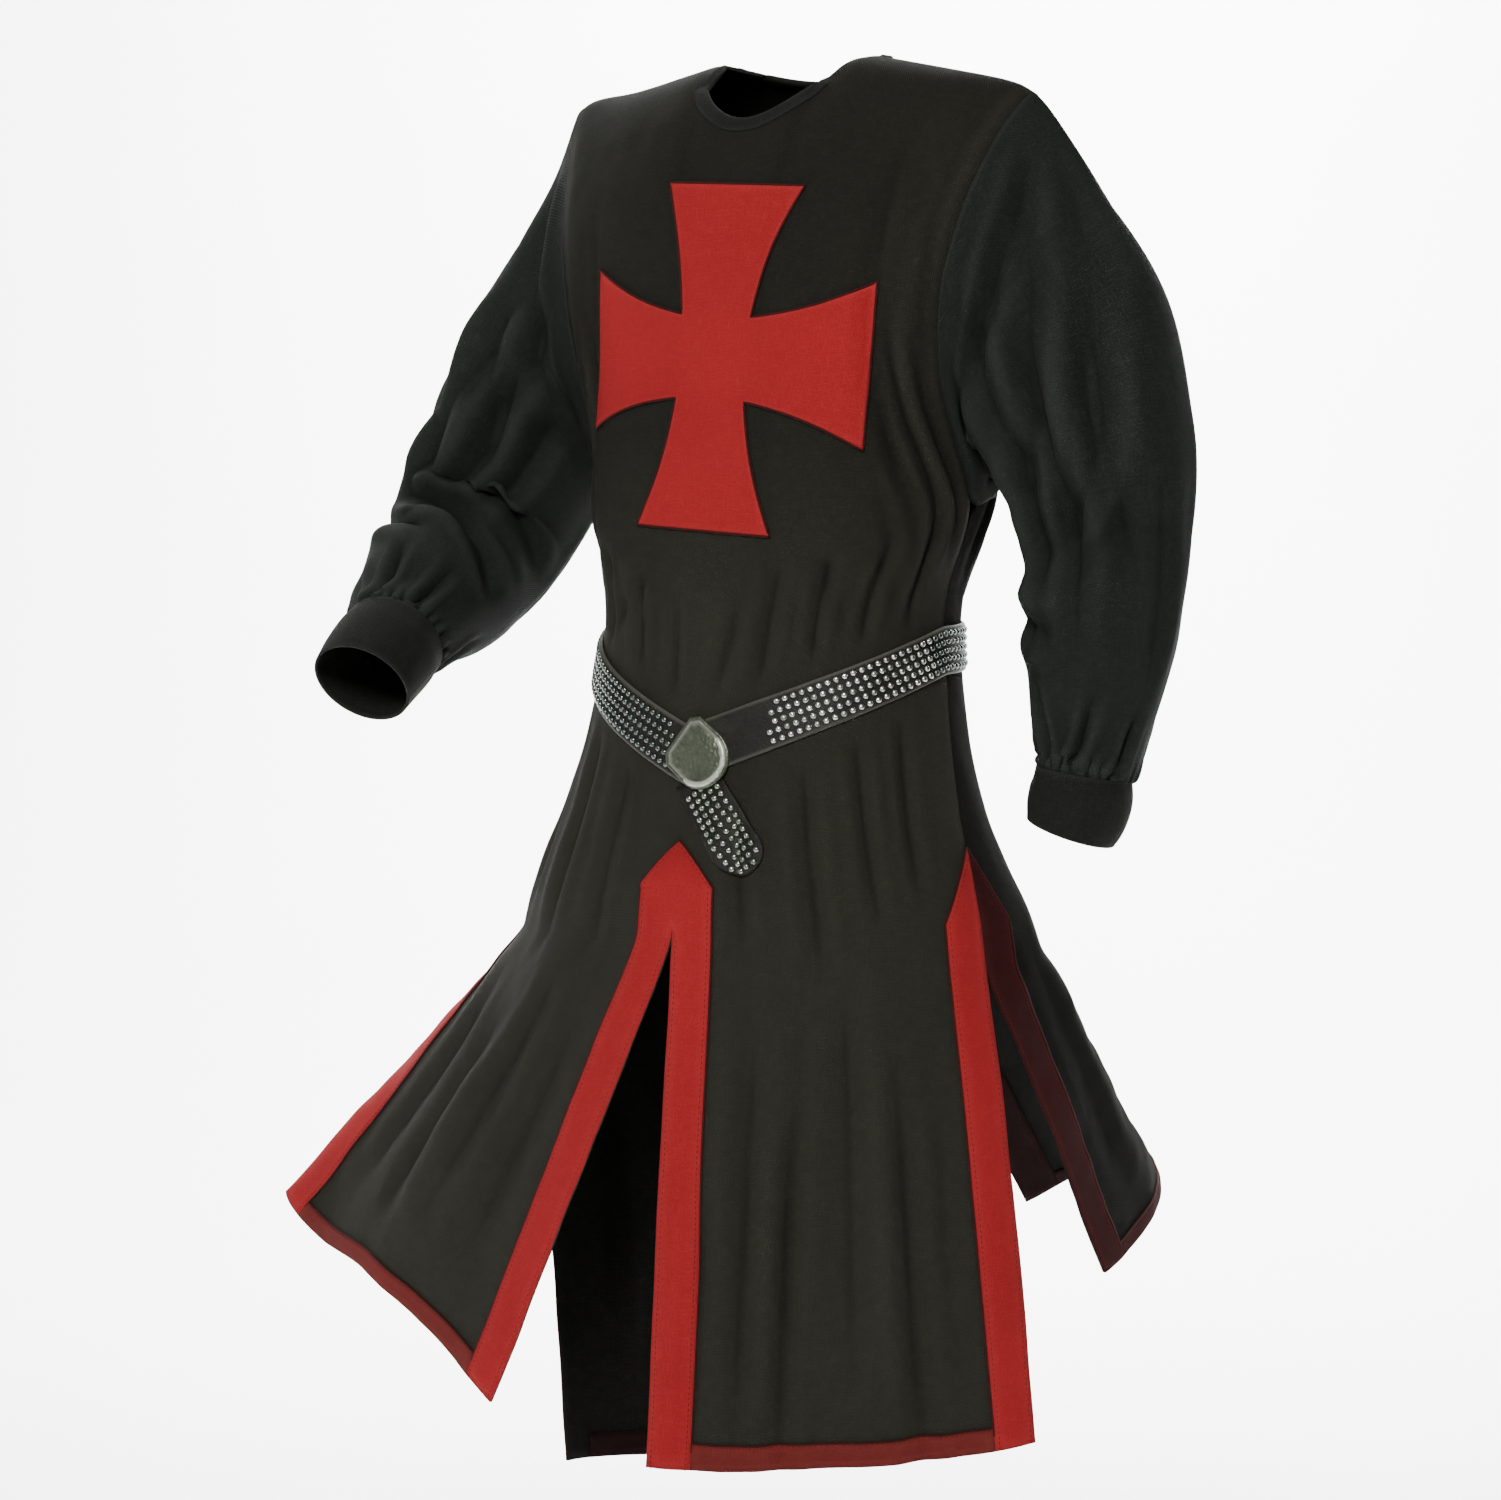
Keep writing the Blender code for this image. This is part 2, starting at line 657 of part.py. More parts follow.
def cross_outline():
    """Corners of the cross pattee in the chest's cloth, with its arms' sides bowed in."""
    corners = []
    for quarter in range(4):
        angle = math.radians(90.0 * quarter)
        ahead = Vector((math.cos(angle), math.sin(angle)))
        side = Vector((-ahead.y, ahead.x))
        for way in (-1.0, 1.0):
            inner = ahead * CROSS_WAIST + side * CROSS_WAIST * way
            outer = ahead * CROSS_REACH + side * CROSS_END * way
            run = []
            for step in range(CROSS_SIDE_STEPS):
                share = step / (CROSS_SIDE_STEPS - 1)
                bow = CROSS_SIDE_BOW * math.sin(math.pi * share)
                run.append(inner.lerp(outer, share) - side * bow * way)
            corners += run if way < 0.0 else run[::-1][:-1]
        ends = [ahead * CROSS_REACH + side * CROSS_END * share for share in (-0.5, 0.0, 0.5)]
        place = len(corners) - (CROSS_SIDE_STEPS - 1)
        corners[place:place] = ends
    middle_x, middle_z = CROSS_MIDDLE
    turned = [Matrix.Rotation(math.radians(CROSS_TILT), 2) @ point for point in corners]
    return [(middle_x + chest_x(point.x, middle_z + point.y), middle_z + point.y) for point in turned]


def cut_to(cutters, piece, outline):
    """Cuts a piece of the front to an outline given by places across and heights."""
    form = bmesh.new()
    corners = [form.verts.new((x, CUTTER_FRONT, z)) for x, z in outline]
    front = form.faces.new(corners)
    grown = bmesh.ops.extrude_face_region(form, geom=[front])
    moved = [item for item in grown["geom"] if isinstance(item, bmesh.types.BMVert)]
    bmesh.ops.translate(form, verts=moved, vec=(0.0, CUTTER_DEPTH, 0.0))
    bmesh.ops.recalc_face_normals(form, faces=form.faces)
    mesh = bpy.data.meshes.new(piece.name + "_cutter")
    form.to_mesh(mesh)
    form.free()
    cutter = bpy.data.objects.new(piece.name + "_cutter", mesh)
    cutters.objects.link(cutter)
    cutter.hide_render = True
    cutter.display_type = "WIRE"
    cut = piece.modifiers.new("Outline", "BOOLEAN")
    cut.operation = "INTERSECT"
    cut.object = cutter


def tongue_outline():
    """Outline of the belt's free end: a straight strip with a round tip."""
    top, tip = Vector(TONGUE_TOP), Vector(TONGUE_TIP)
    ahead = (tip - top).normalized()
    side = Vector((-ahead.y, ahead.x))
    end = tip - ahead * TONGUE_HALF
    corners = [top - side * TONGUE_HALF - ahead * TONGUE_SLANT]
    for step in range(TONGUE_STEPS + 1):
        angle = math.pi * step / TONGUE_STEPS
        corners.append(end + (ahead * math.sin(angle) - side * math.cos(angle)) * TONGUE_HALF)
    corners.append(top + side * TONGUE_HALF)
    return [tuple(corner) for corner in corners]


def buckle_outline(inset, arc_only=False):
    """D shape of the buckle, square at its left end and round at its right; or its round side alone."""
    half_width, half_height = BUCKLE_WIDTH / 2.0 - inset, BUCKLE_HEIGHT / 2.0 - inset
    points = []
    for step in range(ARC_POINTS + 1):
        angle = math.radians(-90.0 + 180.0 * step / ARC_POINTS)
        points.append((half_width - half_height + half_height * math.cos(angle), half_height * math.sin(angle)))
    if not arc_only:
        cut = BUCKLE_CORNER
        points += [(cut - half_width, half_height), (-half_width, half_height - cut),
                   (-half_width, cut - half_height), (cut - half_width, -half_height)]
    return points


def on_buckle(points):
    """Points of the buckle's own plane, tilted and moved to its place on the front."""
    tilt = math.radians(BUCKLE_TILT)
    x, z = BUCKLE_PLACE
    return [(x + across * math.cos(tilt) + up * math.sin(tilt), z - across * math.sin(tilt) + up * math.cos(tilt))
            for across, up in points]


def rim_outline():
    """The raised rim round the buckle's round side."""
    outer = buckle_outline(RIM_INSET, arc_only=True)
    inner = buckle_outline(RIM_INSET + RIM_WIDTH, arc_only=True)
    return outer + inner[::-1]


def front_cells(grids, rows, spare):
    """Triangles of the front's two panels, without `spare` columns at each side."""
    cells = grid_cells(grids["front_right"], rows, range(spare, PANEL_COLUMNS), panel_lean)
    return cells + grid_cells(grids["front_left"], rows, range(PANEL_COLUMNS - spare), panel_lean)


def main():
    for old in list(bpy.data.objects):
        bpy.data.objects.remove(old, do_unlink=True)
    garment = bpy.data.collections.new("medieval_surcoat")
    cutters = bpy.data.collections.new("cutters")
    for group in (garment, cutters):
        bpy.context.scene.collection.children.link(group)
    dark = material("dark_cloth", (0.030, 0.031, 0.026), 0.9)
    red = material("red_cloth", (0.36, 0.035, 0.030), 0.85)
    maroon = material("dark_red_cloth", (0.125, 0.030, 0.022), 0.88)
    leather = material("belt_leather", (0.030, 0.040, 0.032), 0.5)
    metal = material("buckle_metal", (0.30, 0.32, 0.26), 0.4, 0.8)

    grids = {panel.name: panel_grid(panel) for panel in PANELS}
    rows = range(len(ROW_NAMES) - 1)
    columns = range(PANEL_COLUMNS)
    sheets = {name: grid_cells(grid, rows, columns, panel_lean) for name, grid in grids.items()}
    walls = {
        "front_body": sheets["front_right"] + sheets["front_left"],
        "back_body": sheets["back_left"] + sheets["back_right"],
    }
    cuffs = {}
    for side, outward, rings, creases in (("left", 1.0, ARM_LEFT, CREASES_LEFT),
                                          ("right", -1.0, ARM_RIGHT, CREASES_RIGHT)):
        sleeve, cuff = arm_grids(armhole_loop(grids, outward), rings, creases, outward)
        turned = flip if outward > 0.0 else list
        walls["sleeve_" + side] = turned(ring_cells(sleeve))
        cuffs["cuff_" + side] = turned(ring_cells(cuff))
    cloth = Cloth()
    for cells in list(walls.values()) + list(cuffs.values()):
        cloth.learn(cells)
    for name, cells in walls.items():
        add_piece(garment, name, wall(name, cells, cloth, 0.0, CLOTH, SEAM / 2.0), dark)
    for name, cells in cuffs.items():
        add_piece(garment, name, wall(name, cells, cloth, 0.0, CUFF_WALL, SEAM), dark)

    over = CLOTH + SEAM
    under = -SEAM - TRIM
    slits = (("front", "front_right", "front_left"), ("left", "front_left", "back_left"),
             ("back", "back_left", "back_right"), ("right", "back_right", "front_right"))
    start = row_of("gable_side")
    for side, first, second in slits:
        cells = band_cells(grids, first, second, start)
        name = "slit_band_" + side
        add_piece(garment, name, wall(name, cells, cloth, over, TRIM, SEAM / 2.0), red)
        if side == "back":
            name = "slit_facing_back"
            add_piece(garment, name, wall(name, cells, cloth, under, TRIM, SEAM / 2.0), maroon)
    for panel in PANELS:
        cells = grid_cells(grids[panel.name], [len(ROW_NAMES) - 2], range(1, PANEL_COLUMNS - 1), panel_lean)
        for name, lift in (("hem_band_" + panel.name, over), ("hem_facing_" + panel.name, under)):
            add_piece(garment, name, wall(name, cells, cloth, lift, TRIM, SEAM / 2.0), maroon)

    neck = []
    for panel in PANELS:
        near = range(NECK_COLUMNS + 1)
        if panel.first != 0.0:
            near = [PANEL_COLUMNS - 1 - column for column in near]
        neck += grid_cells(grids[panel.name], [0], near, panel_lean)
    add_piece(garment, "neck_binding", wall("neck_binding", neck, cloth, over + BINDING_LIFT, TRIM), dark)

    # the cross, the belt's free end, its plate buckle and the rim, each cut from the front's own form
    chest = front_cells(grids, range(row_of("rise") + NECK_SPARE, row_of("belt_top")), CHEST_SPARE)
    belly = front_cells(grids, range(row_of("waist"), row_of("slit")), BELT_SPARE)
    plate_lift = over + BELT_WALL + SEAM
    rim_lift = plate_lift + BUCKLE_PLATE + SEAM
    for name, cells, lift, thickness, slot, outline in (
            ("chest_cross", chest, over, TRIM, red, cross_outline()),
            ("belt_tongue", belly, over, TONGUE_WALL, leather, tongue_outline()),
            ("belt_buckle", belly, plate_lift, BUCKLE_PLATE, metal, on_buckle(buckle_outline(0.0))),
            ("buckle_rim", belly, rim_lift, RIM_HEIGHT, metal, on_buckle(rim_outline()))):
        cut_to(cutters, add_piece(garment, name, wall(name, cells, cloth, lift, thickness), slot), outline)

    strap = []
    for panel in PANELS:
        strap += grid_cells(grids[panel.name], [row_of("belt_top")], columns, panel_lean)
    add_piece(garment, "belt_strap", wall("belt_strap", strap, cloth, over, BELT_WALL), leather)


main()
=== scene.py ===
"""Medieval surcoat: the visual model, its materials, light and camera. Metres, +Z up; the front faces -Y
and the wearer's left is +X. Every sheet of cloth is worked out from the same sections as its solid."""
import math
from collections import namedtuple

import bmesh
import bpy
import numpy as np
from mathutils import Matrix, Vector, noise
from mathutils.bvhtree import BVHTree


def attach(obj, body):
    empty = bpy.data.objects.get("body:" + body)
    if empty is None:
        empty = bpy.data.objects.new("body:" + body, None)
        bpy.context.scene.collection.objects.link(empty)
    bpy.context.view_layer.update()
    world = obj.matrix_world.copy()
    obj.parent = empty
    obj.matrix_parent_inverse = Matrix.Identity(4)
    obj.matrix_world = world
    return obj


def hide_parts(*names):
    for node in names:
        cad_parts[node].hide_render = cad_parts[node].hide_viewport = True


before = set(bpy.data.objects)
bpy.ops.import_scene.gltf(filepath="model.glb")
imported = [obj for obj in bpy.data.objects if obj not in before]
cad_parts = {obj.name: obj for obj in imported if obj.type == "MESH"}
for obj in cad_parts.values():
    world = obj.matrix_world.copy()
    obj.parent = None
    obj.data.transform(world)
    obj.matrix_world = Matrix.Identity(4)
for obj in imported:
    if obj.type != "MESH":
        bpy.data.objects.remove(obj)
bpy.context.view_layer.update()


def table(fields, *rows):
    """Rows whose values are read by the names in `fields`."""
    kind = namedtuple("Row", fields)
    return tuple(kind(*row) for row in rows)


def crease_table(steps, *rows):
    """Creases, listed one by one: a trough along a line, or a ridge where the depth is positive. A row holds
    the turn and the place of each end of the line, the half width and the depth: turns in degrees, places in
    parts of 1/steps, the other two in millimetres."""
    return table("turn place to_turn to_place half_width out",
                 *((row[0], row[1] / steps, row[2], row[3] / steps, row[4] / 1000, row[5] / 1000)
                   for row in rows))


# Walls of the cloth and its trims, the gap at every seam and under every trim, and how near points are joined
CLOTH = 0.0016
TRIM = 0.0012
SEAM = 0.0003
CUFF_WALL = 0.0024
OVER = CLOTH + SEAM
UNDER = -SEAM - TRIM
WELD = 0.00002

# Neck, shoulders and armholes
NECK_HALF = 0.078
NECK_TOP = 0.012
NECK_FRONT = 0.084
NECK_BACK = 0.046
BINDING_WIDTH = 0.012
SHOULDER_TIP = 0.225
SHOULDER_FALL = 0.030
CHEST_DEPTH = 0.120
SHOULDER_ROUNDING = 4.0
SHOULDER_FADE = 12.0
ARMHOLE_DEPTH = 0.074
ARMHOLE_ROUNDING = 0.75
BOX_OUT = 0.014
BOX_REACH = 0.09

BAND_WIDTH = 0.037
HEM_BAND = 0.020
BELT_WALL = 0.0032
BELT_WIDTH = 0.042
FRONT, BACK = -1, 1

# Level rings of the garment from the armpit down
SECTIONS = table(
    "z half_width front back mid_y",
    (-0.345, 0.179, 0.120, 0.118, -0.012), (-0.430, 0.158, 0.114, 0.110, -0.026),
    (-0.500, 0.165, 0.118, 0.114, -0.034), (-0.600, 0.180, 0.130, 0.126, -0.040),
    (-0.700, 0.196, 0.142, 0.142, -0.040), (-1.200, 0.222, 0.158, 0.168, -0.034),
)
# Half width of the bodice at the armhole: rise is 0 at the armpit and 1 at the shoulder
ARMHOLE_WIDTHS = table("rise half_width", (0.0, 0.179), (0.35, 0.180), (0.70, 0.198), (1.0, SHOULDER_TIP))
# Height of each named row at the middle of the front, at the sides and at the middle of the back
LEVELS = table(
    "name front side back",
    ("armpit", -0.345, -0.345, -0.345), ("ribs", -0.405, -0.375, -0.375),
    ("waist", -0.468, -0.410, -0.408), ("belt_top", -0.530, -0.450, -0.448),
    ("belt_bottom", -0.577, -0.489, -0.486), ("hip", -0.600, -0.560, -0.556),
    ("gable_top", -0.622, -0.628, -0.628), ("gable_side", -0.652, -0.690, -0.670),
    ("slit", -0.690, -0.722, -0.705),
)
LEVEL_NAMES = [level.name for level in LEVELS]
SLIT_LEVEL = len(LEVELS) - 1
ARMPIT = LEVELS[0].side
DIP_SHARPNESS = 1.3
# Each skirt panel: its face, the turn of its two edges, the level of its hem at both when it hangs straight,
# and how far the hem rises between them
PANELS = table(
    "name face first last hem_first hem_last hem_lift",
    ("front_right", FRONT, -90.0, 0.0, -1.116, -1.150, 0.041),
    ("front_left", FRONT, 0.0, 90.0, -1.140, -1.130, -0.003),
    ("back_left", BACK, 90.0, 0.0, -1.138, -1.158, 0.000),
    ("back_right", BACK, 0.0, -90.0, -1.200, -1.200, -0.020),
)
# How far each panel's hem is swung aside, at turns across it
SWINGS = table(
    "turn panel x y",
    (-90.0, "front_right", -0.240, -0.050), (-68.0, "front_right", -0.196, -0.024),
    (-45.0, "front_right", -0.185, 0.005), (0.0, "front_right", -0.180, -0.010),
    (0.0, "front_left", -0.016, -0.010), (45.0, "front_left", -0.034, 0.034),
    (90.0, "front_left", 0.002, 0.040), (90.0, "back_left", -0.060, 0.262),
    (45.0, "back_left", -0.092, 0.298), (0.0, "back_left", -0.020, 0.270),
    (0.0, "back_right", -0.040, 0.080), (-45.0, "back_right", 0.030, 0.010),
    (-90.0, "back_right", 0.094, -0.055),
)
SWING_SOFTNESS = 0.03
# Where the skirt already flares above the slits. Turns round the body are 0 in front, 90 at the left
FLARES = table(
    "around half_turn top bottom out",
    (125.0, 30.0, -0.540, -0.760, 0.032), (145.0, 34.0, -0.540, -0.950, 0.040),
    (-85.0, 38.0, -0.520, -0.760, 0.046), (-92.0, 14.0, -0.690, -0.840, 0.014),
)
# Broad folds that the solids have too
FOLDS = table(
    "around z half_height half_turn out",
    (62.0, -0.20, 0.15, 7.0, -0.007), (76.0, -0.24, 0.12, 6.0, 0.006),
    (-66.0, -0.27, 0.12, 7.0, -0.006), (34.0, -0.90, 0.20, 8.0, -0.009),
    (52.0, -0.95, 0.22, 8.0, 0.008), (70.0, -0.90, 0.20, 7.0, -0.005),
    (-38.0, -0.92, 0.22, 10.0, 0.007), (-60.0, -0.90, 0.20, 9.0, -0.006),
    (160.0, -0.62, 0.14, 8.0, 0.006), (204.0, -0.60, 0.15, 8.0, 0.006),
    (180.0, -0.30, 0.15, 12.0, -0.006), (140.0, -0.92, 0.20, 9.0, -0.009),
    (118.0, -0.95, 0.20, 8.0, 0.008), (222.0, -0.95, 0.22, 9.0, 0.010),
    (242.0, -0.92, 0.20, 8.0, -0.008), (122.0, -0.20, 0.14, 8.0, -0.006),
    (238.0, -0.20, 0.14, 8.0, -0.006),
)
# Creases of the body: places are heights in millimetres
BODY_CREASES = crease_table(
    1000,
    # towards the armpits and over the chest
    (58, -90, 60, -330, 11, -7.5), (66, -200, 74, -400, 9, -6.7), (78, -230, 82, -380, 8, -6),
    (46, -150, 40, -300, 16, -4.5), (40, -290, 60, -420, 10, -4.2), (26, -330, 44, -440, 12, -3.6),
    (-70, -220, -66, -400, 10, -7.2), (-58, -130, -62, -290, 13, -5.3), (-80, -250, -76, -390, 9, -6),
    (-44, -310, -60, -420, 10, -3.9), (-18, -400, -40, -455, 10, -3),
    # pulled in over the belt
    (12, -430, 6, -515, 8, -3.9), (24, -400, 20, -500, 8, -4.5), (38, -390, 36, -480, 7, -4.5),
    (56, -380, 52, -460, 7, -4.8), (72, -370, 70, -450, 7, -4.5), (-10, -430, -8, -510, 7, -3.3),
    (-26, -410, -24, -490, 8, -4.2), (-42, -390, -44, -470, 7, -4.8), (-58, -380, -62, -455, 7, -4.5),
    (-76, -370, -78, -450, 7, -4.5),
    # let out under the belt
    (16, -590, 18, -700, 8, -3.9), (34, -560, 38, -720, 9, -5.1), (50, -540, 54, -680, 8, -4.5),
    (66, -520, 68, -660, 8, -4.2), (-22, -570, -28, -720, 9, -4.5), (-40, -540, -48, -720, 9, -5.4),
    (-60, -520, -66, -690, 8, -4.8), (-78, -510, -82, -660, 8, -4.2),
    # down the front panels
    (22, -780, 20, -1080, 11, -5.7), (31, -860, 30, -1130, 8, -5.1), (44, -740, 46, -1050, 12, -6.9),
    (58, -820, 62, -1130, 10, -6.3), (12, -920, 11, -1130, 10, -3.6),
    (-20, -800, -22, -1030, 12, -5.7), (-33, -760, -36, -1000, 10, -6.3),
    (-50, -820, -52, -1020, 12, -6.9), (-66, -780, -70, -1010, 10, -5.7),
    # the back: shoulder blades, waist and panels
    (120, -110, 112, -330, 12, -6.7), (106, -220, 104, -400, 10, -6.3),
    (240, -120, 248, -330, 12, -6.7), (254, -230, 256, -400, 10, -6.3),
    (146, -200, 150, -400, 14, -4.5), (212, -180, 208, -390, 14, -4.8),
    (178, -280, 182, -430, 12, -4.5), (130, -370, 128, -440, 8, -4.8), (158, -370, 160, -435, 8, -4.5),
    (196, -370, 194, -435, 8, -4.5), (228, -370, 230, -440, 8, -4.8), (132, -510, 136, -680, 10, -6),
    (156, -510, 154, -660, 9, -5.1), (202, -510, 206, -660, 9, -5.1), (226, -510, 222, -690, 10, -6),
    (112, -740, 110, -1060, 10, -4), (130, -780, 132, -1100, 12, -3.5),
    (152, -760, 150, -1060, 11, -6), (206, -780, 208, -1120, 12, -6.6),
    (230, -760, 232, -1100, 12, -6.9), (250, -800, 250, -1120, 10, -5.7),
    (121, -800, 121, -1030, 55, -9), (-44, -860, -44, -1340, 50, 9.5), (-74, -900, -74, -1340, 30, -4),
)
METRES_A_DEGREE = 0.0031
CREASE_POWER = 1.5
# A crease's raised sides (share of its depth, place and width in half widths), and the parts of its line
# over which its ends fade
CREASE_SIDE = (0.42, 1.9, 0.85)
CREASE_BEYOND = 0.22
CREASE_FADE = 0.5

# Slow waves and ripples of the cloth, the most it moves, where it lies calm, and how its kinks are eased
WAVE_OUT = 0.0030
WAVE_SCALE = (13.0, 13.0, 6.0)
WAVE_SEED = 3.0
RIPPLE_OUT = 0.0011
RIPPLE_SCALE = (42.0, 42.0, 20.0)
RIPPLE_SEED = 11.0
MOST_OUT = 0.0120
TOP_CALM = -0.012
TOP_FADE = 0.05
BELT_REACH = 0.030
CHEST_CALM = 0.92
CALM_WIDTH = 0.152
CALM_HEIGHT = 0.170
CALM_FADE = 0.018
EASE_PASSES = 24
EASE_SHARE = 0.25
EASE_TOP_ROW = 24
EASE_CLEAR_ROWS = 9
EASE_REACH = 0.030
# Shoulders: how far the cloth beside the tip fills out and within what reach, and how far the tip is cut
SHOULDERS = table("side fill fill_reach cut cut_reach",
                  (1.0, 0.001, 0.040, 0.0085, 0.016), (-1.0, 0.0095, 0.042, 0.0075, 0.014))
SHOULDER_LEAN = 0.5

# Arms: the middle, across and front-to-back half sizes of each ring, the last four being the cuff's, and
# broad folds that the solids have too; shares run along the sleeve, turns from its outer side round its front
RING_FIELDS = "x y z across depth"
ARM_LEFT = table(
    RING_FIELDS,
    (0.236, 0.000, -0.200, 0.090, 0.082), (0.282, 0.000, -0.306, 0.075, 0.078),
    (0.294, 0.000, -0.380, 0.064, 0.070), (0.300, -0.016, -0.440, 0.060, 0.062),
    (0.301, -0.034, -0.510, 0.047, 0.050), (0.302, -0.041, -0.545, 0.039, 0.040),
    (0.300, -0.044, -0.560, 0.036, 0.037), (0.298, -0.045, -0.577, 0.039, 0.038),
    (0.294, -0.046, -0.593, 0.038, 0.037), (0.290, -0.047, -0.606, 0.034, 0.034),
)
ARM_RIGHT = table(
    RING_FIELDS,
    (-0.236, 0.000, -0.205, 0.091, 0.082), (-0.276, -0.016, -0.290, 0.087, 0.080),
    (-0.306, -0.040, -0.370, 0.080, 0.074), (-0.303, -0.092, -0.416, 0.073, 0.068),
    (-0.296, -0.145, -0.442, 0.060, 0.056), (-0.286, -0.184, -0.462, 0.047, 0.045),
    (-0.283, -0.197, -0.469, 0.043, 0.041), (-0.281, -0.212, -0.478, 0.045, 0.042),
    (-0.279, -0.230, -0.490, 0.044, 0.041), (-0.277, -0.246, -0.502, 0.042, 0.039),
)
ARM_FOLD_FIELDS = "share half_share turn half_turn out"
FOLDS_LEFT = table(
    ARM_FOLD_FIELDS,
    (0.18, 0.10, 0.0, 50.0, 0.012), (0.30, 0.22, 95.0, 18.0, -0.009), (0.34, 0.20, 130.0, 14.0, 0.007),
    (0.50, 0.05, 190.0, 40.0, -0.010), (0.56, 0.05, 120.0, 50.0, 0.006),
    (0.80, 0.07, 80.0, 40.0, -0.006), (0.34, 0.20, 250.0, 18.0, -0.008),
)
FOLDS_RIGHT = table(
    ARM_FOLD_FIELDS,
    (0.30, 0.20, 100.0, 18.0, -0.009), (0.40, 0.16, 60.0, 18.0, 0.006),
    (0.56, 0.05, 110.0, 60.0, -0.009), (0.63, 0.05, 80.0, 60.0, 0.006),
    (0.80, 0.06, 100.0, 50.0, -0.006), (0.34, 0.20, 255.0, 18.0, -0.008),
)
# Creases of the sleeves: places are hundredths of the way along
CREASES_LEFT = crease_table(
    100,
    (40, 7, 128, 15, 9, -12), (62, 13, 122, 34, 10, -11), (40, 20, 96, 46, 11, -8.5),
    (20, 10, 66, 30, 12, -6), (118, 10, 108, 52, 10, -11.2), (92, 20, 80, 60, 12, -9.7),
    (140, 30, 132, 62, 10, -10.5), (150, 6, 158, 36, 11, -10.5), (60, 16, 40, 50, 13, -6.7),
    (22, 34, 12, 66, 12, -5.3), (150, 56, 214, 60, 9, -11.2), (100, 62, 160, 58, 8, -7.5),
    (196, 52, 238, 54, 9, -8.3), (60, 72, 84, 96, 8, -6.7), (120, 70, 112, 95, 8, -7.5),
    (160, 78, 150, 97, 7, -6), (12, 74, 24, 96, 8, -6), (300, 70, 310, 96, 8, -6.7),
    (240, 10, 250, 50, 11, -9.7), (272, 18, 280, 56, 12, -8.3), (215, 30, 226, 56, 10, -8.3),
    (318, 20, 330, 54, 13, -6), (220, 74, 230, 96, 8, -6.7),
)
CREASES_RIGHT = crease_table(
    100,
    (44, 8, 126, 18, 10, -10), (60, 14, 118, 36, 11, -9), (30, 22, 84, 44, 11, -7),
    (110, 10, 96, 46, 11, -11.2), (78, 16, 58, 50, 12, -9.7), (138, 24, 124, 52, 10, -10.5),
    (44, 22, 30, 54, 13, -6.7), (60, 50, 130, 58, 10, -12), (40, 56, 96, 66, 9, -9),
    (118, 60, 176, 68, 9, -9.7), (130, 48, 190, 54, 9, -9), (90, 72, 78, 96, 8, -7.5),
    (40, 72, 52, 95, 8, -6.7), (140, 74, 132, 96, 8, -7.5), (2, 76, 8, 96, 8, -6),
    (320, 70, 308, 95, 9, -6.7), (244, 12, 256, 48, 11, -9.7), (276, 20, 284, 56, 12, -8.3),
    (214, 30, 228, 56, 10, -8.3), (318, 16, 330, 52, 13, -6), (222, 74, 232, 96, 8, -6.7),
)
CUFF_SPANS = 3
CUFF_SEAMS = (2, -3)
ARM_START = 0.001
ARM_STEP = 0.01
ARM_FRONT = Vector((0.0, -1.0, 0.3))
ARM_METRES_A_DEGREE = 0.0013
SLEEVE_LENGTH = 0.36
SLEEVE_HEAD = 2.2
# Shares of the sleeve, at its head and at its cuff, over which these fade
CREASE_FADES = (0.07, 0.06)
FOLD_FADES = (0.12, 0.06)
WAVE_FADES = (0.15, 0.08)
PLEAT_FADE = 0.02
PLEATS = ((23.0, 0.0), (17.0, 1.1), (29.0, 2.3))
PLEAT_OUT = 0.0042
PLEAT_REACH = 0.16
ARM_WAVE_SCALE = (20.0, 20.0, 9.0)
ARM_WAVE_OUT = 0.0024
ARM_WAVE_SEED = 5.0
ARM_CREASE_MOST = 0.0130

# The cross pattee on the chest
CROSS_MIDDLE = (0.001, -0.233)
CROSS_TILT = math.radians(-3.0)
CROSS_REACH = 0.140
CROSS_END = 0.067
CROSS_WAIST = 0.034
CROSS_SIDE_BOW = 0.005
CROSS_CELLS = 30
CHEST_TURN = 80.0
CROSS_LIFT = 0.0003
CROSS_SEAM_INSET = 0.0040

# Edging and stitches; the inset is a share of a band's width
EDGING_RADIUS = 0.0011
EDGING_SEAT = 0.4 * TRIM
CROSS_EDGING_SEAT = 0.6 * TRIM
HEM_STITCH = 0.2
STITCH_PITCH = 0.0046
STITCH_HALF = 0.0017
STITCH_WIDE = 0.00040
STITCH_HIGH = 0.00045
STITCH_INSET = 0.11
# Any direction that no cord or stud points in, from which their rings are set out
ASKEW = np.array([0.31, 0.17, 0.94])

# Belt hardware and the free end: places are x and height on the front of the garment
BUCKLE_PLACE = (0.014, -0.554)
BUCKLE_TILT = math.radians(35.0)
BUCKLE_WIDTH = 0.055
BUCKLE_HEIGHT = 0.050
BUCKLE_CORNER = 0.007
BUCKLE_ARC = 36
BUCKLE_SIDE = 4
PLATE_LIFT = BELT_WALL + SEAM
# Rings of the plate: share in towards its middle, height over its seat
PLATE_RINGS = (
    (0.0, 0.0), (0.0, 0.0012), (0.02, 0.0022), (0.06, 0.0026), (0.10, 0.0022), (0.13, 0.0020),
    (0.25, 0.0026), (0.45, 0.0034), (0.65, 0.0039), (0.85, 0.0041), (1.0, 0.0042),
)
PLATE_HOLE = 0.001
RIM_INSET = 0.0038
RIM_LIFT = 0.0034
RIM_RADIUS = 0.0026
RIM_TURN = 92.0
RIM_SIDES = 12
RIM_TAPER = 8
RIM_END = 0.02
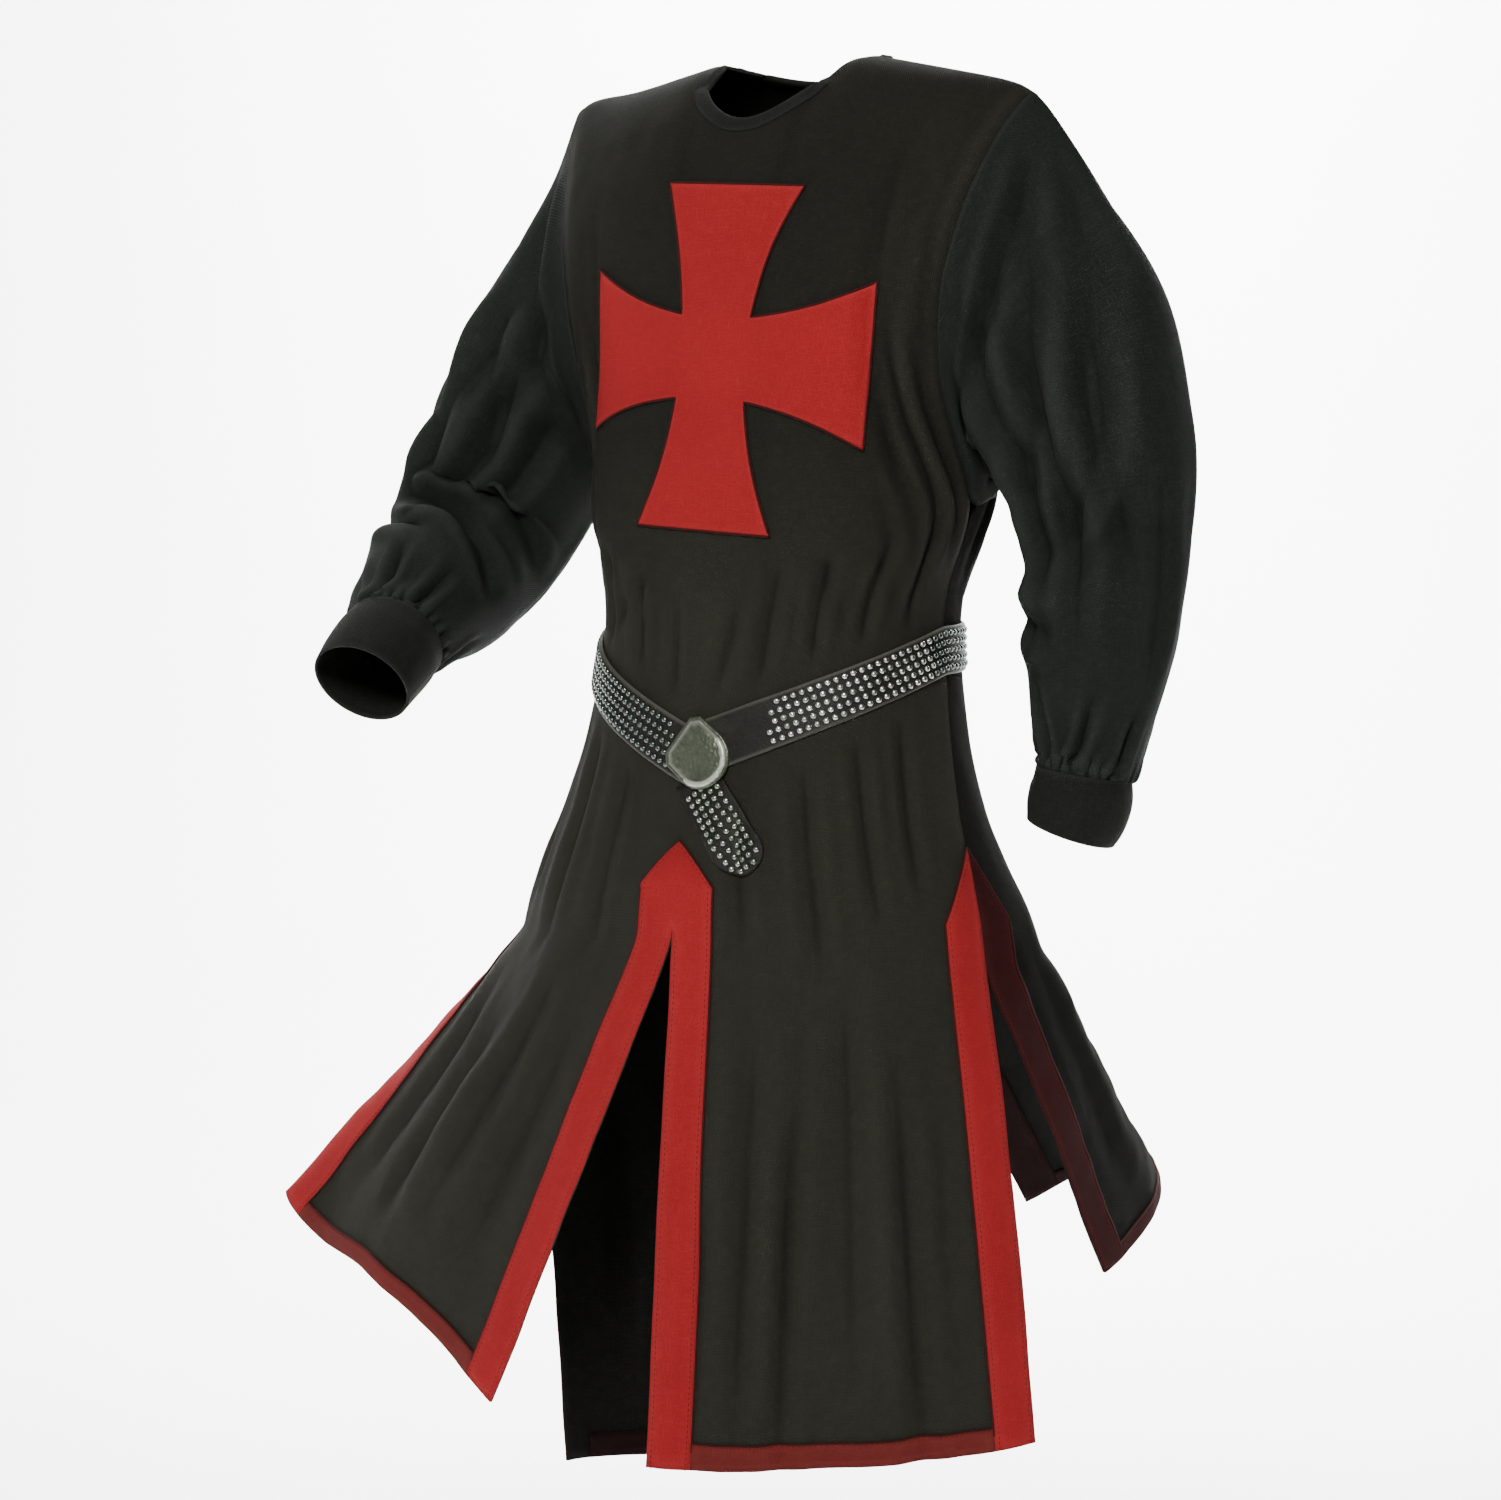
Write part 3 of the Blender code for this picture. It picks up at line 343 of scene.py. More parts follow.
# Section of the strap: share of its width, share of its wall
STRAP_PROFILE = (
    (0.50, 0.00), (0.03, 0.00), (0.00, 0.25), (0.00, 0.60), (0.02, 0.90), (0.06, 1.00), (0.10, 0.94),
    (0.20, 0.97), (0.50, 1.00), (0.80, 0.97), (0.90, 0.94), (0.94, 1.00), (0.98, 0.90), (1.00, 0.60),
    (1.00, 0.25), (0.97, 0.00), (0.50, 0.00),
)
PLAIN_STRAP = (-0.012, 0.070)
BRIGHT_BEFORE = -0.052
TONGUE_TOP = np.array([0.021, -0.583])
TONGUE_TIP = np.array([0.068, -0.643])
TONGUE_LENGTH = np.linalg.norm(TONGUE_TIP - TONGUE_TOP)
TONGUE_AHEAD = (TONGUE_TIP - TONGUE_TOP) / TONGUE_LENGTH
TONGUE_SIDE = np.array([-TONGUE_AHEAD[1], TONGUE_AHEAD[0]])
TONGUE_HALF = 0.0205
TONGUE_SLANT = 0.020
TONGUE_WALL = 0.003
TONGUE_EDGE = 0.35
TONGUE_ROWS = 40
TONGUE_CELLS = 16
TONGUE_CROWDING = 1.6
# Studs: rings as shares of radius and height
STUD_PROFILE = ((1.0, 0.0), (0.93, 0.45), (0.6, 0.84))
STUD_SIDES = 8
STUD_RADIUS = 0.0027
STUD_HEIGHT = 0.0020
STUD_PITCH = 0.0074
TONGUE_PITCH = 0.0068
STUD_ROWS = 5
TIP_STUD_INSET = 0.0055
# How far the middle of a stud stays from the free end's edges, in radii
STUD_TOP_CLEAR = 1.3
STUD_SIDE_CLEAR = 0.9
# Section of the neck binding, folded over the edge: distance down from the edge, distance out of the cloth
BINDING_PROFILE = (
    (0.0120, 0.0019), (0.0112, 0.0030), (0.0090, 0.0032), (0.0050, 0.0031), (0.0015, 0.0032),
    (-0.0008, 0.0028), (-0.0018, 0.0016), (-0.0018, 0.0002), (-0.0008, -0.0010), (0.0020, -0.0014),
    (0.0100, -0.0010),
)
BINDING_WALL = 0.0005

# Density of the sheets
BAND_CELLS = 6
MIDDLE_CELLS = 56
NECK_CELLS = 14
BINDING_CELLS = 3
CELLS = MIDDLE_CELLS + 2 * BAND_CELLS
BODICE_ROWS = 72
BODICE_CROWDING = 1.7
LEVEL_STEPS = 6
SKIRT_ROWS = 84
HEM_ROWS = 3
SLEEVE_ROWS = 140
CUFF_ROWS = 22
ARC_SAMPLES = 240
HALVINGS = 40
RAY_START = -0.6

# Each slit: where it is, the panel whose last edge lies along it and the panel whose first edge does
SLITS = (("front", "front_right", "front_left"), ("left", "front_left", "back_left"),
         ("back", "back_left", "back_right"), ("right", "back_right", "front_right"))

# The scale of a wave texture that turns once a metre, and the pitch of the satin stitches
WAVE_TURN = math.pi / 10.0
SATIN_PITCH = 0.0009
# Heights between which the front turns lighter downwards, towards its light colour, and how far
LIGHTENING = (-0.29, -0.46)
LIGHTENING_SHARE = 0.44
# Painted shade on the studs away from the free end: the free end's x, and how far from it they darken
TONGUE_MIDDLE = 0.045
TONGUE_REACH = (0.040, 0.070)
STUD_SHADE_SHARE = 0.8

# Camera, floor and lights; azimuths in degrees from the front, elevations in degrees
CAMERA_AZIMUTH = 35.0
CAMERA_ELEVATION = 5.9
CAMERA_DISTANCE = 2.915
CAMERA_LENS = 82.27
CAMERA_SENSOR = 36.0
TARGET = Vector((-0.035, -0.025, -0.563))
FLOOR = -1.55
SWEEP_AHEAD = 6.0
SWEEP_TOP = 6.0
SWEEP_BACK = 4.2
SWEEP_ROUND = 2.2
SWEEP_WIDE = 9.0
SWEEP_STEPS = 25
LIGHTS = table(
    "name azimuth elevation distance power size aim",
    ("key", 24.0, 34.0, 3.6, 205.0, 1.0, (0.0, 0.0, -0.6)),
    ("fill", -50.0, 10.0, 3.6, 16.0, 2.0, (0.0, 0.0, -0.6)),
    ("backdrop", 200.0, 50.0, 3.2, 1150.0, 3.0, (-2.4, 3.4, -0.4)),
)
WORLD_LIGHT = 0.26


def bump(offset, reach):
    """A smooth hill of height 1 at offset 0 that fades past its reach."""
    return np.exp(-(offset / reach) ** 2)


def smooth(value):
    """Eases from 0 to 1."""
    value = np.clip(value, 0.0, 1.0)
    return value * value * (3.0 - 2.0 * value)


def curve(places, values, position):
    """A smooth curve through the values at the places, read at positions between them."""
    places, values = np.array(places, float), np.array(values, float)
    if places[0] > places[-1]:
        places, values = places[::-1], values[::-1]
    position = np.clip(position, places[0], places[-1])
    last = len(places) - 1
    step = np.clip(np.searchsorted(places, position, side="right") - 1, 0, last - 1)
    low, high = np.maximum(np.arange(last + 1) - 1, 0), np.minimum(np.arange(last + 1) + 1, last)
    slopes = (values[high] - values[low]) / (places[high] - places[low])
    span = places[step + 1] - places[step]
    t = (position - places[step]) / span
    return ((2 * t**3 - 3 * t**2 + 1) * values[step] + (t**3 - 2 * t**2 + t) * span * slopes[step]
            + (3 * t**2 - 2 * t**3) * values[step + 1] + (t**3 - t**2) * span * slopes[step + 1])


def along(rows, position, field):
    """A smooth curve through the column `field` of a table whose first column is the position."""
    return curve([row[0] for row in rows], [getattr(row, field) for row in rows], position)


def points(x, y, z):
    return np.stack(np.broadcast_arrays(x, y, z), axis=-1)


def unit(vectors):
    return vectors / np.maximum(np.linalg.norm(vectors, axis=-1, keepdims=True), 1e-12)


def grid_normals(grid, closed=False):
    """Normals of a grid of points, out of the garment where columns run with the turn and rows run down."""
    if closed:
        across = np.roll(grid, -1, axis=1) - np.roll(grid, 1, axis=1)
    else:
        across = np.gradient(grid, axis=1)
    return unit(np.cross(np.gradient(grid, axis=0), across))


def running(steps):
    return np.concatenate([[0.0], np.cumsum(steps)])


def lengths_along(line):
    return running(np.linalg.norm(np.diff(line, axis=0), axis=1))


def at_lengths(line, lengths, wanted):
    """Points of a line at wanted lengths along it."""
    return np.stack([np.interp(wanted, lengths, line[:, axis]) for axis in range(3)], axis=-1)


def closed_up(grid):
    return np.concatenate([grid, grid[:, :1]], axis=1)


def search_tree(grids, order=(0, 1, 2, 3)):
    """A search tree of the sheets through grids of points; order is that of the corners of every face."""
    verts, faces = [], []
    for grid in grids:
        rows, columns = grid.shape[:2]
        start = len(verts)
        verts += [Vector(point) for point in grid.reshape(-1, 3)]
        for row in range(rows - 1):
            for column in range(columns - 1):
                a = start + row * columns + column
                corners = a, a + columns, a + columns + 1, a + 1
                faces.append([corners[i] for i in order])
    return BVHTree.FromPolygons(verts, faces)


def around_of(face, turn):
    """Turn round the whole body: 0 in front, 90 at the wearer's left, 180 behind, -90 at the right."""
    return turn if face == FRONT else 180.0 - turn


def apart(first, second):
    """The shorter way round between two turns."""
    return (first - second + 180.0) % 360.0 - 180.0


def cloth_out(face, turn, z):
    """How far the broad folds and flares push the cloth outward."""
    around = around_of(face, turn)
    out = 0.0
    for fold in FOLDS:
        near = bump(apart(around, fold.around), fold.half_turn) * bump(z - fold.z, fold.half_height)
        out = out + fold.out * near
    for flare in FLARES:
        share = smooth((flare.top - z) / (flare.top - flare.bottom))
        out = out + flare.out * bump(apart(around, flare.around), flare.half_turn) * share
    corner = np.sin(np.radians(2.0 * turn)) ** 2
    return out + BOX_OUT * corner * bump(z - ARMPIT, BOX_REACH)


def ring_point(face, turn, z):
    """Points of the level rings at heights z, at turns from the middle of the face."""
    half_width, depth, mid_y = (
        along(SECTIONS, z, field) for field in ("half_width", "front" if face == FRONT else "back", "mid_y"))
    angle = np.radians(turn)
    out = cloth_out(face, turn, z)
    return points((half_width + out) * np.sin(angle), mid_y + face * (depth + out) * np.cos(angle), z)


def bodice_point(face, turn, rise):
    """Points above the armpit: rise is 0 at the armpit and 1 on the shoulder."""
    depth = CHEST_DEPTH * np.sqrt(np.maximum(1.0 - rise ** SHOULDER_ROUNDING, 0.0))
    edge_depth = ARMHOLE_DEPTH * np.maximum(np.sin(np.pi * rise), 0.0) ** ARMHOLE_ROUNDING
    edge_angle = np.arccos(np.minimum(edge_depth / np.maximum(depth, 1e-9), 1.0))
    edge_angle = np.where(rise < 1.0, edge_angle, 0.5 * np.pi)
    angle = edge_angle * turn / 90.0
    x = along(ARMHOLE_WIDTHS, rise, "half_width") * np.sin(angle) / np.sin(edge_angle)
    slope = np.maximum(np.abs(x) - NECK_HALF, 0.0) / (SHOULDER_TIP - NECK_HALF)
    z = ARMPIT + (NECK_TOP - SHOULDER_FALL * slope - ARMPIT) * rise
    mid_y = SECTIONS[0].mid_y * (1.0 - rise)
    out = cloth_out(face, turn, z) * np.minimum(1.0, SHOULDER_FADE * (1.0 - rise))
    return points(x + out * np.sin(angle), mid_y + face * (depth + out) * np.cos(angle), z)


def level_height(place, face, turn):
    """Height of a level row at turns; place counts the named levels and may lie between two."""
    step = min(int(place), SLIT_LEVEL - 1)
    upper, lower = LEVELS[step], LEVELS[step + 1]
    middle_field = "front" if face == FRONT else "back"
    side, middle = (getattr(upper, field) + (getattr(lower, field) - getattr(upper, field)) * (place - step)
                    for field in ("side", middle_field))
    return side + (middle - side) * (1.0 - np.abs(turn) / 90.0) ** DIP_SHARPNESS


def hem_height(panel, turn):
    """Height of a panel's hem at turns, when it hangs straight."""
    share = (turn - panel.first) / (panel.last - panel.first)
    straight = panel.hem_first + (panel.hem_last - panel.hem_first) * share
    return straight + panel.hem_lift * np.sin(np.pi * share)


def skirt_point(panel, turn, fall):
    """Points of a skirt panel: fall is 0 at the top of the slits and 1 at the hem."""
    top, hem = level_height(SLIT_LEVEL, panel.face, turn), hem_height(panel, turn)
    length = top - hem
    straight = ring_point(panel.face, turn, top - length * fall)
    swings = [swing for swing in SWINGS if swing.panel == panel.name]
    swing = points(along(swings, turn, "x"), along(swings, turn, "y"), 0.0)
    aside = (ring_point(panel.face, turn, hem) + swing - ring_point(panel.face, turn, top))[..., :2]
    rise = length - np.sqrt(length**2 - (aside**2).sum(-1))
    soft = math.hypot(1.0, SWING_SOFTNESS) - SWING_SOFTNESS
    share = (math.hypot(fall, SWING_SOFTNESS) - SWING_SOFTNESS) / soft
    return straight + (swing + points(0.0, 0.0, rise)) * share


def column_turns(make_points, panel):
    """Turns of a panel's columns: a band's width in from each edge, and even between."""
    turns = np.linspace(panel.first, panel.last, ARC_SAMPLES + 1)
    lengths = lengths_along(make_points(turns))
    band = np.linspace(0.0, BAND_WIDTH, BAND_CELLS + 1)
    middle = np.linspace(BAND_WIDTH, lengths[-1] - BAND_WIDTH, MIDDLE_CELLS + 1)
    return np.interp(np.concatenate([band[:-1], middle, lengths[-1] - band[::-1][1:]]), lengths, turns)


def shoulder_turns(panel):
    """Turns of a panel's columns at the shoulder."""
    outward = 1.0 if max(panel.first, panel.last) > 0.0 else -1.0
    start = NECK_HALF + BINDING_WIDTH
    x = np.concatenate([np.linspace(0.0, NECK_HALF, NECK_CELLS + 1)[:-1],
                        np.linspace(NECK_HALF, start, BINDING_CELLS + 1)[:-1],
                        np.linspace(start, SHOULDER_TIP, CELLS - NECK_CELLS - BINDING_CELLS + 1)])
    turns = outward * np.degrees(np.arcsin(np.minimum(x / SHOULDER_TIP, 1.0)))
    return turns if panel.first == 0.0 else turns[::-1]


def bisected(low, high, above):
    """The place between low and high, for each column, where `above` turns from false to true."""
    for _ in range(HALVINGS):
        middle = 0.5 * (low + high)
        over = above(middle)
        low, high = np.where(over, low, middle), np.where(over, middle, high)
    return low


class PanelSheet:
    """One panel as rows of points from the neck or shoulder down to the hem, with the turn round the body
    and the straight-hanging height of each."""

    def __init__(self, panel):
        self.panel = panel
        face = panel.face
        armpit_turns = column_turns(lambda turn: bodice_point(face, turn, 0.0), panel)
        top_turns = shoulder_turns(panel)
        neck_depth = NECK_FRONT if face == FRONT else NECK_BACK

        def bodice(rise):
            turns = armpit_turns + (top_turns - armpit_turns) * rise
            return bodice_point(face, turns, rise), turns

        def past_neck(rise):
            point = bodice(rise)[0]
            return np.hypot(point[:, 0] / NECK_HALF, point[:, 1] / neck_depth) <= 1.0

        ones = np.ones(CELLS + 1)
        from_middle = np.arange(CELLS + 1) if panel.first == 0.0 else np.arange(CELLS + 1)[::-1]
        ends = np.where(from_middle < NECK_CELLS, bisected(0.5 * ones, ones, past_neck), ones)
        shares = 1.0 - (np.arange(BODICE_ROWS) / BODICE_ROWS) ** BODICE_CROWDING
        rows = [bodice(share * ends) for share in shares]
        for step in range(SLIT_LEVEL * LEVEL_STEPS + 1):
            def on_level(turn, place=step / LEVEL_STEPS):
                return ring_point(face, turn, level_height(place, face, turn))

            turns = column_turns(on_level, panel)
            rows.append((on_level(turns), turns))
        self.slit_row = len(rows) - 1
        heights = [row[:, 2] for row, _ in rows]
        hem_start = 1.0 - HEM_BAND / (LEVELS[-1].side - panel.hem_last)
        for fall in np.concatenate([np.linspace(0.0, hem_start, SKIRT_ROWS + 1)[1:],
                                    np.linspace(hem_start, 1.0, HEM_ROWS + 1)[1:]]):
            turns = column_turns(lambda turn: skirt_point(panel, turn, fall), panel)
            rows.append((skirt_point(panel, turns, fall), turns))
            upper, hem = level_height(SLIT_LEVEL, face, turns), hem_height(panel, turns)
            heights.append(upper - (upper - hem) * fall)
        self.base = np.array([row for row, _ in rows])
        self.around = around_of(face, np.array([turns for _, turns in rows]))
        self.height = np.array(heights)
        self.normal = grid_normals(self.base)

    def level_row(self, name):
        return BODICE_ROWS + LEVEL_NAMES.index(name) * LEVEL_STEPS

    def lifted(self, lift, rows=slice(None), columns=slice(None)):
        """Part of the panel's form, moved out."""
        return self.form[rows, columns] + self.out[rows, columns] * lift

    def from_edge(self, at_last, first_row, places, lift):
        """Points from a row down to the hem, `places` columns in from the last or the first edge."""
        grid = self.lifted(lift, slice(first_row, None))
        place = np.broadcast_to(CELLS - places if at_last else places, len(grid))
        step = np.clip(np.floor(place).astype(int), 0, CELLS - 1)
        part = (place - step)[:, None]
        rows = np.arange(len(grid))
        return grid[rows, step] * (1.0 - part) + grid[rows, step + 1] * part

    def gable(self):
        """The top row of the gable, and from there to the hem the width of a band in columns."""
        top, side = self.level_row("gable_top"), self.level_row("gable_side")
        rows = np.arange(top, len(self.base))
        return top, np.clip((rows - top) / (side - top), 0.0, 1.0) * BAND_CELLS

    def hem_strip(self, lift):
        return self.lifted(lift, slice(-HEM_ROWS - 1, None), slice(BAND_CELLS, CELLS - BAND_CELLS + 1))


def line_creases(creases, along_x, along_z, metres_x, metres_z):
    """Sum of the creases at places given by two coordinates, which each convert to metres."""
    total = np.zeros_like(along_x)
    side_depth, side_place, side_width = CREASE_SIDE
    for crease in creases:
        run_x = apart(crease.to_turn, crease.turn) * metres_x
        run_z = (crease.to_place - crease.place) * metres_z
        away_x, away_z = apart(along_x, crease.turn) * metres_x, (along_z - crease.place) * metres_z
        length = math.hypot(run_x, run_z)
        share = (away_x * run_x + away_z * run_z) / length**2
        across = np.abs(away_x * run_z - away_z * run_x) / length / crease.half_width
        taper = (smooth((share + CREASE_BEYOND) / CREASE_FADE)
                 * smooth((1.0 + CREASE_BEYOND - share) / CREASE_FADE))
        profile = np.exp(-across**CREASE_POWER) - side_depth * bump(across - side_place, side_width)
        total += crease.out * profile * taper
    return total


def undulation(grid, scale, seed):
    """Slow uneven waves, from -1 to 1."""
    values = [noise.noise(Vector((x + seed, y, z))) for x, y, z in (grid * np.array(scale)).reshape(-1, 3)]
    return np.array(values).reshape(grid.shape[:-1])


def belt_press(sheet):
    """1 away from the belt and 0 under it."""
    face = sheet.panel.face
    turn = around_of(face, sheet.around)
    top, bottom = (level_height(LEVEL_NAMES.index(name), face, turn) for name in ("belt_top", "belt_bottom"))
    return smooth(np.maximum(np.maximum(sheet.height - top, bottom - sheet.height), 0.0) / BELT_REACH)


def ease(sheet):
    """Softens the kinks under the neck's corners and round the garment at the armpits."""
    base = sheet.base
    upper = slice(1, BODICE_ROWS)
    first, last = EASE_TOP_ROW, sheet.level_row("waist")
    near = EASE_SHARE * bump(np.abs(base[upper, 1:-1, :1]) - NECK_HALF, EASE_REACH)
    near = near * smooth((np.arange(1, BODICE_ROWS) - EASE_CLEAR_ROWS) / EASE_CLEAR_ROWS)[:, None, None]
    for _ in range(EASE_PASSES):
        base[upper, 1:-1] += near * (base[upper, :-2] + base[upper, 2:] - 2.0 * base[upper, 1:-1])
        across_rows = base[first - 1:last - 1] + base[first + 1:last + 1] - 2.0 * base[first:last]
        base[first:last] += EASE_SHARE * across_rows
    sheet.normal = grid_normals(base)


def round_shoulders(grid):
    """Points with the corners of the shoulders filled out at their sides and rounded at their tips."""
    made = grid.copy()
    for shoulder in SHOULDERS:
        tip = np.array([shoulder.side * SHOULDER_TIP, 0.0, NECK_TOP - SHOULDER_FALL])
        away = np.linalg.norm(grid - tip, axis=-1)
        out = shoulder.fill * bump(away, shoulder.fill_reach)
        out -= shoulder.cut * np.exp(-away / shoulder.cut_reach)
        up = math.sqrt(1.0 - SHOULDER_LEAN**2)
        made += out[..., None] * np.array([shoulder.side * SHOULDER_LEAN, 0.0, up])
    return made


def share_edges(sheets, field):
    """Makes normals alike along the columns that two panels share above the slits."""
    for before, after in zip(PANELS, PANELS[1:] + PANELS[:1]):
        rows = slice(0, sheets[before.name].slit_row + 1)
        first, second = getattr(sheets[before.name], field), getattr(sheets[after.name], field)
        first[rows, -1] = second[rows, 0] = unit(first[rows, -1] + second[rows, 0])


def dress(sheets):
    """Adds the creases and the rounded shoulders to the panels; `plain` keeps the shoulders as they were."""
    for sheet in sheets.values():
        ease(sheet)
    share_edges(sheets, "normal")
    for sheet in sheets.values():
        out = line_creases(BODY_CREASES, sheet.around, sheet.height, METRES_A_DEGREE, 1.0)
        out += WAVE_OUT * undulation(sheet.base, WAVE_SCALE, WAVE_SEED)
        out += RIPPLE_OUT * undulation(sheet.base, RIPPLE_SCALE, RIPPLE_SEED)
        calm = 1.0
        if sheet.panel.face == FRONT:
            aside = smooth((CALM_WIDTH - np.abs(sheet.base[..., 0])) / CALM_FADE)
            up = smooth((CALM_HEIGHT - np.abs(sheet.height - CROSS_MIDDLE[1])) / CALM_FADE)
            calm = 1.0 - CHEST_CALM * aside * up
        top = smooth((TOP_CALM - sheet.height) / TOP_FADE)
        out = np.clip(out, -MOST_OUT, MOST_OUT) * belt_press(sheet) * top * calm
        sheet.plain = sheet.base + sheet.normal * out[..., None]
        sheet.form = round_shoulders(sheet.plain)
        sheet.out = grid_normals(sheet.form)
    share_edges(sheets, "out")


class Build:
    """Gathers grids of points into one mesh, with weave coordinates in metres."""

    def __init__(self, *grids, **options):
        self.verts, self.faces, self.coords = [], [], []
        for grid in grids:
            self.grid(grid, **options)

    def add(self, places, faces, coords=None):
        """Points and the faces between them."""
        start = len(self.verts)
        self.verts += [Vector(place) for place in places]
        self.faces += [[start + corner for corner in face] for face in faces]
        self.coords += coords or [[(0.0, 0.0)] * len(face) for face in faces]

    def grid(self, grid, closed=False, turned=False):
        """A sheet through a grid of points; coordinates run across and down it in metres."""
        rows, columns = grid.shape[:2]
        steps = np.linalg.norm(np.diff(grid, axis=1), axis=2).mean(axis=0)
        across = running(np.append(steps, steps.mean()))
        down = -running(np.linalg.norm(np.diff(grid, axis=0), axis=2).mean(axis=1))
        way = -1 if turned else 1
        faces, coords = [], []
        for row in range(rows - 1):
            for column in range(columns if closed else columns - 1):
                a, b = row * columns + column, row * columns + (column + 1) % columns
                faces.append([a, a + columns, b + columns, b][::way])
                x0, x1, y0, y1 = across[column], across[column + 1], down[row], down[row + 1]
                coords.append([(x0, y0), (x0, y1), (x1, y1), (x1, y0)][::way])
        self.add(grid.reshape(-1, 3), faces, coords)

    def tube(self, line, radius, sides=6, closed=False):
        """A cord along a line of points."""
        if closed:
            ahead = unit(np.roll(line, -1, axis=0) - np.roll(line, 1, axis=0))
        else:
            ahead = unit(np.gradient(line, axis=0))
        radius = np.broadcast_to(radius, len(line))[:, None, None]
        rings = line[:, None] + radius * circle(ahead, sides)
        self.grid(np.concatenate([rings, rings[:1]]) if closed else rings, closed=True)

    def sew(self, name, material, slot, nodes=(), thickness=None, weld=True):
        """Makes the piece, which stands for CAD nodes."""
        form = bmesh.new()
        verts = [form.verts.new(place) for place in self.verts]
        layer = form.loops.layers.uv.new("weave")
        for face, spots in zip(self.faces, self.coords):
            made = form.faces.new([verts[i] for i in face])
            made.smooth = True
            for loop, spot in zip(made.loops, spots):
                loop[layer].uv = spot
        if weld:
            bmesh.ops.remove_doubles(form, verts=form.verts, dist=WELD)
            bmesh.ops.dissolve_degenerate(form, edges=form.edges, dist=WELD)
        mesh = bpy.data.meshes.new(name)
        form.to_mesh(mesh)
        form.free()
        mesh.materials.append(material)
        piece = placed(name, mesh)
        if thickness:
            solid = piece.modifiers.new("Wall", "SOLIDIFY")
            solid.thickness = thickness
            solid.offset = 1.0
            solid.use_even_offset = False
        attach(piece, "root")
        if nodes:
            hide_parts(*nodes)
        return piece


def placed(name, data):
    """A new object in the scene."""
    made = bpy.data.objects.new(name, data)
    bpy.context.scene.collection.objects.link(made)
    return made


def circle(ahead, sides):
    """Directions round each direction ahead."""
    aside = unit(np.cross(ahead, ASKEW))
    up = np.cross(ahead, aside)
    turns = 2.0 * np.pi * np.arange(sides) / sides
    return aside[..., None, :] * np.cos(turns)[:, None] + up[..., None, :] * np.sin(turns)[:, None]


def whole_tree(sheets, lift):
    """A search tree of all four panels, moved out by `lift`."""
    return search_tree([sheet.lifted(lift) for sheet in sheets.values()])


def nearest(tree, places):
    """The nearest point of a search tree to each place, and the tree's normal there."""
    found = [tree.find_nearest(Vector(place))[:2] for place in places.reshape(-1, 3)]
    return np.array(found).reshape(*places.shape[:-1], 2, 3).swapaxes(0, -2)


def arm_place(rings, share):
    """Middle and half sizes of an arm's ring at a share of the way along."""
    places = range(len(rings))
    return [float(curve(places, values, share * places[-1])) for values in zip(*rings)]


def arm_ring(rings, share, outward, turns, out):
    """A ring of points round an arm, from its outer side round its front."""
    *middle, across, depth = arm_place(rings, share)
    after = Vector(arm_place(rings, min(share + ARM_STEP, 1.0))[:3])
    before = Vector(arm_place(rings, max(share - ARM_STEP, 0.0))[:3])
    down = (after - before).normalized()
    side = Vector((outward, 0.0, 0.0))
    side = (side - down * side.dot(down)).normalized()
    ahead = side.cross(down) * outward
    if ahead.dot(ARM_FRONT) < 0.0:
        ahead = -ahead
    angle = np.radians(turns)[:, None]
    return (np.array(middle) + np.array(side) * (across + out[:, None]) * np.cos(angle)
            + np.array(ahead) * (depth + out[:, None]) * np.sin(angle))


def between(part, fades):
    """1 along a sleeve, fading at its head and at its cuff."""
    head, cuff = fades
    return smooth((1.0 - part) / cuff) * smooth(part / head)


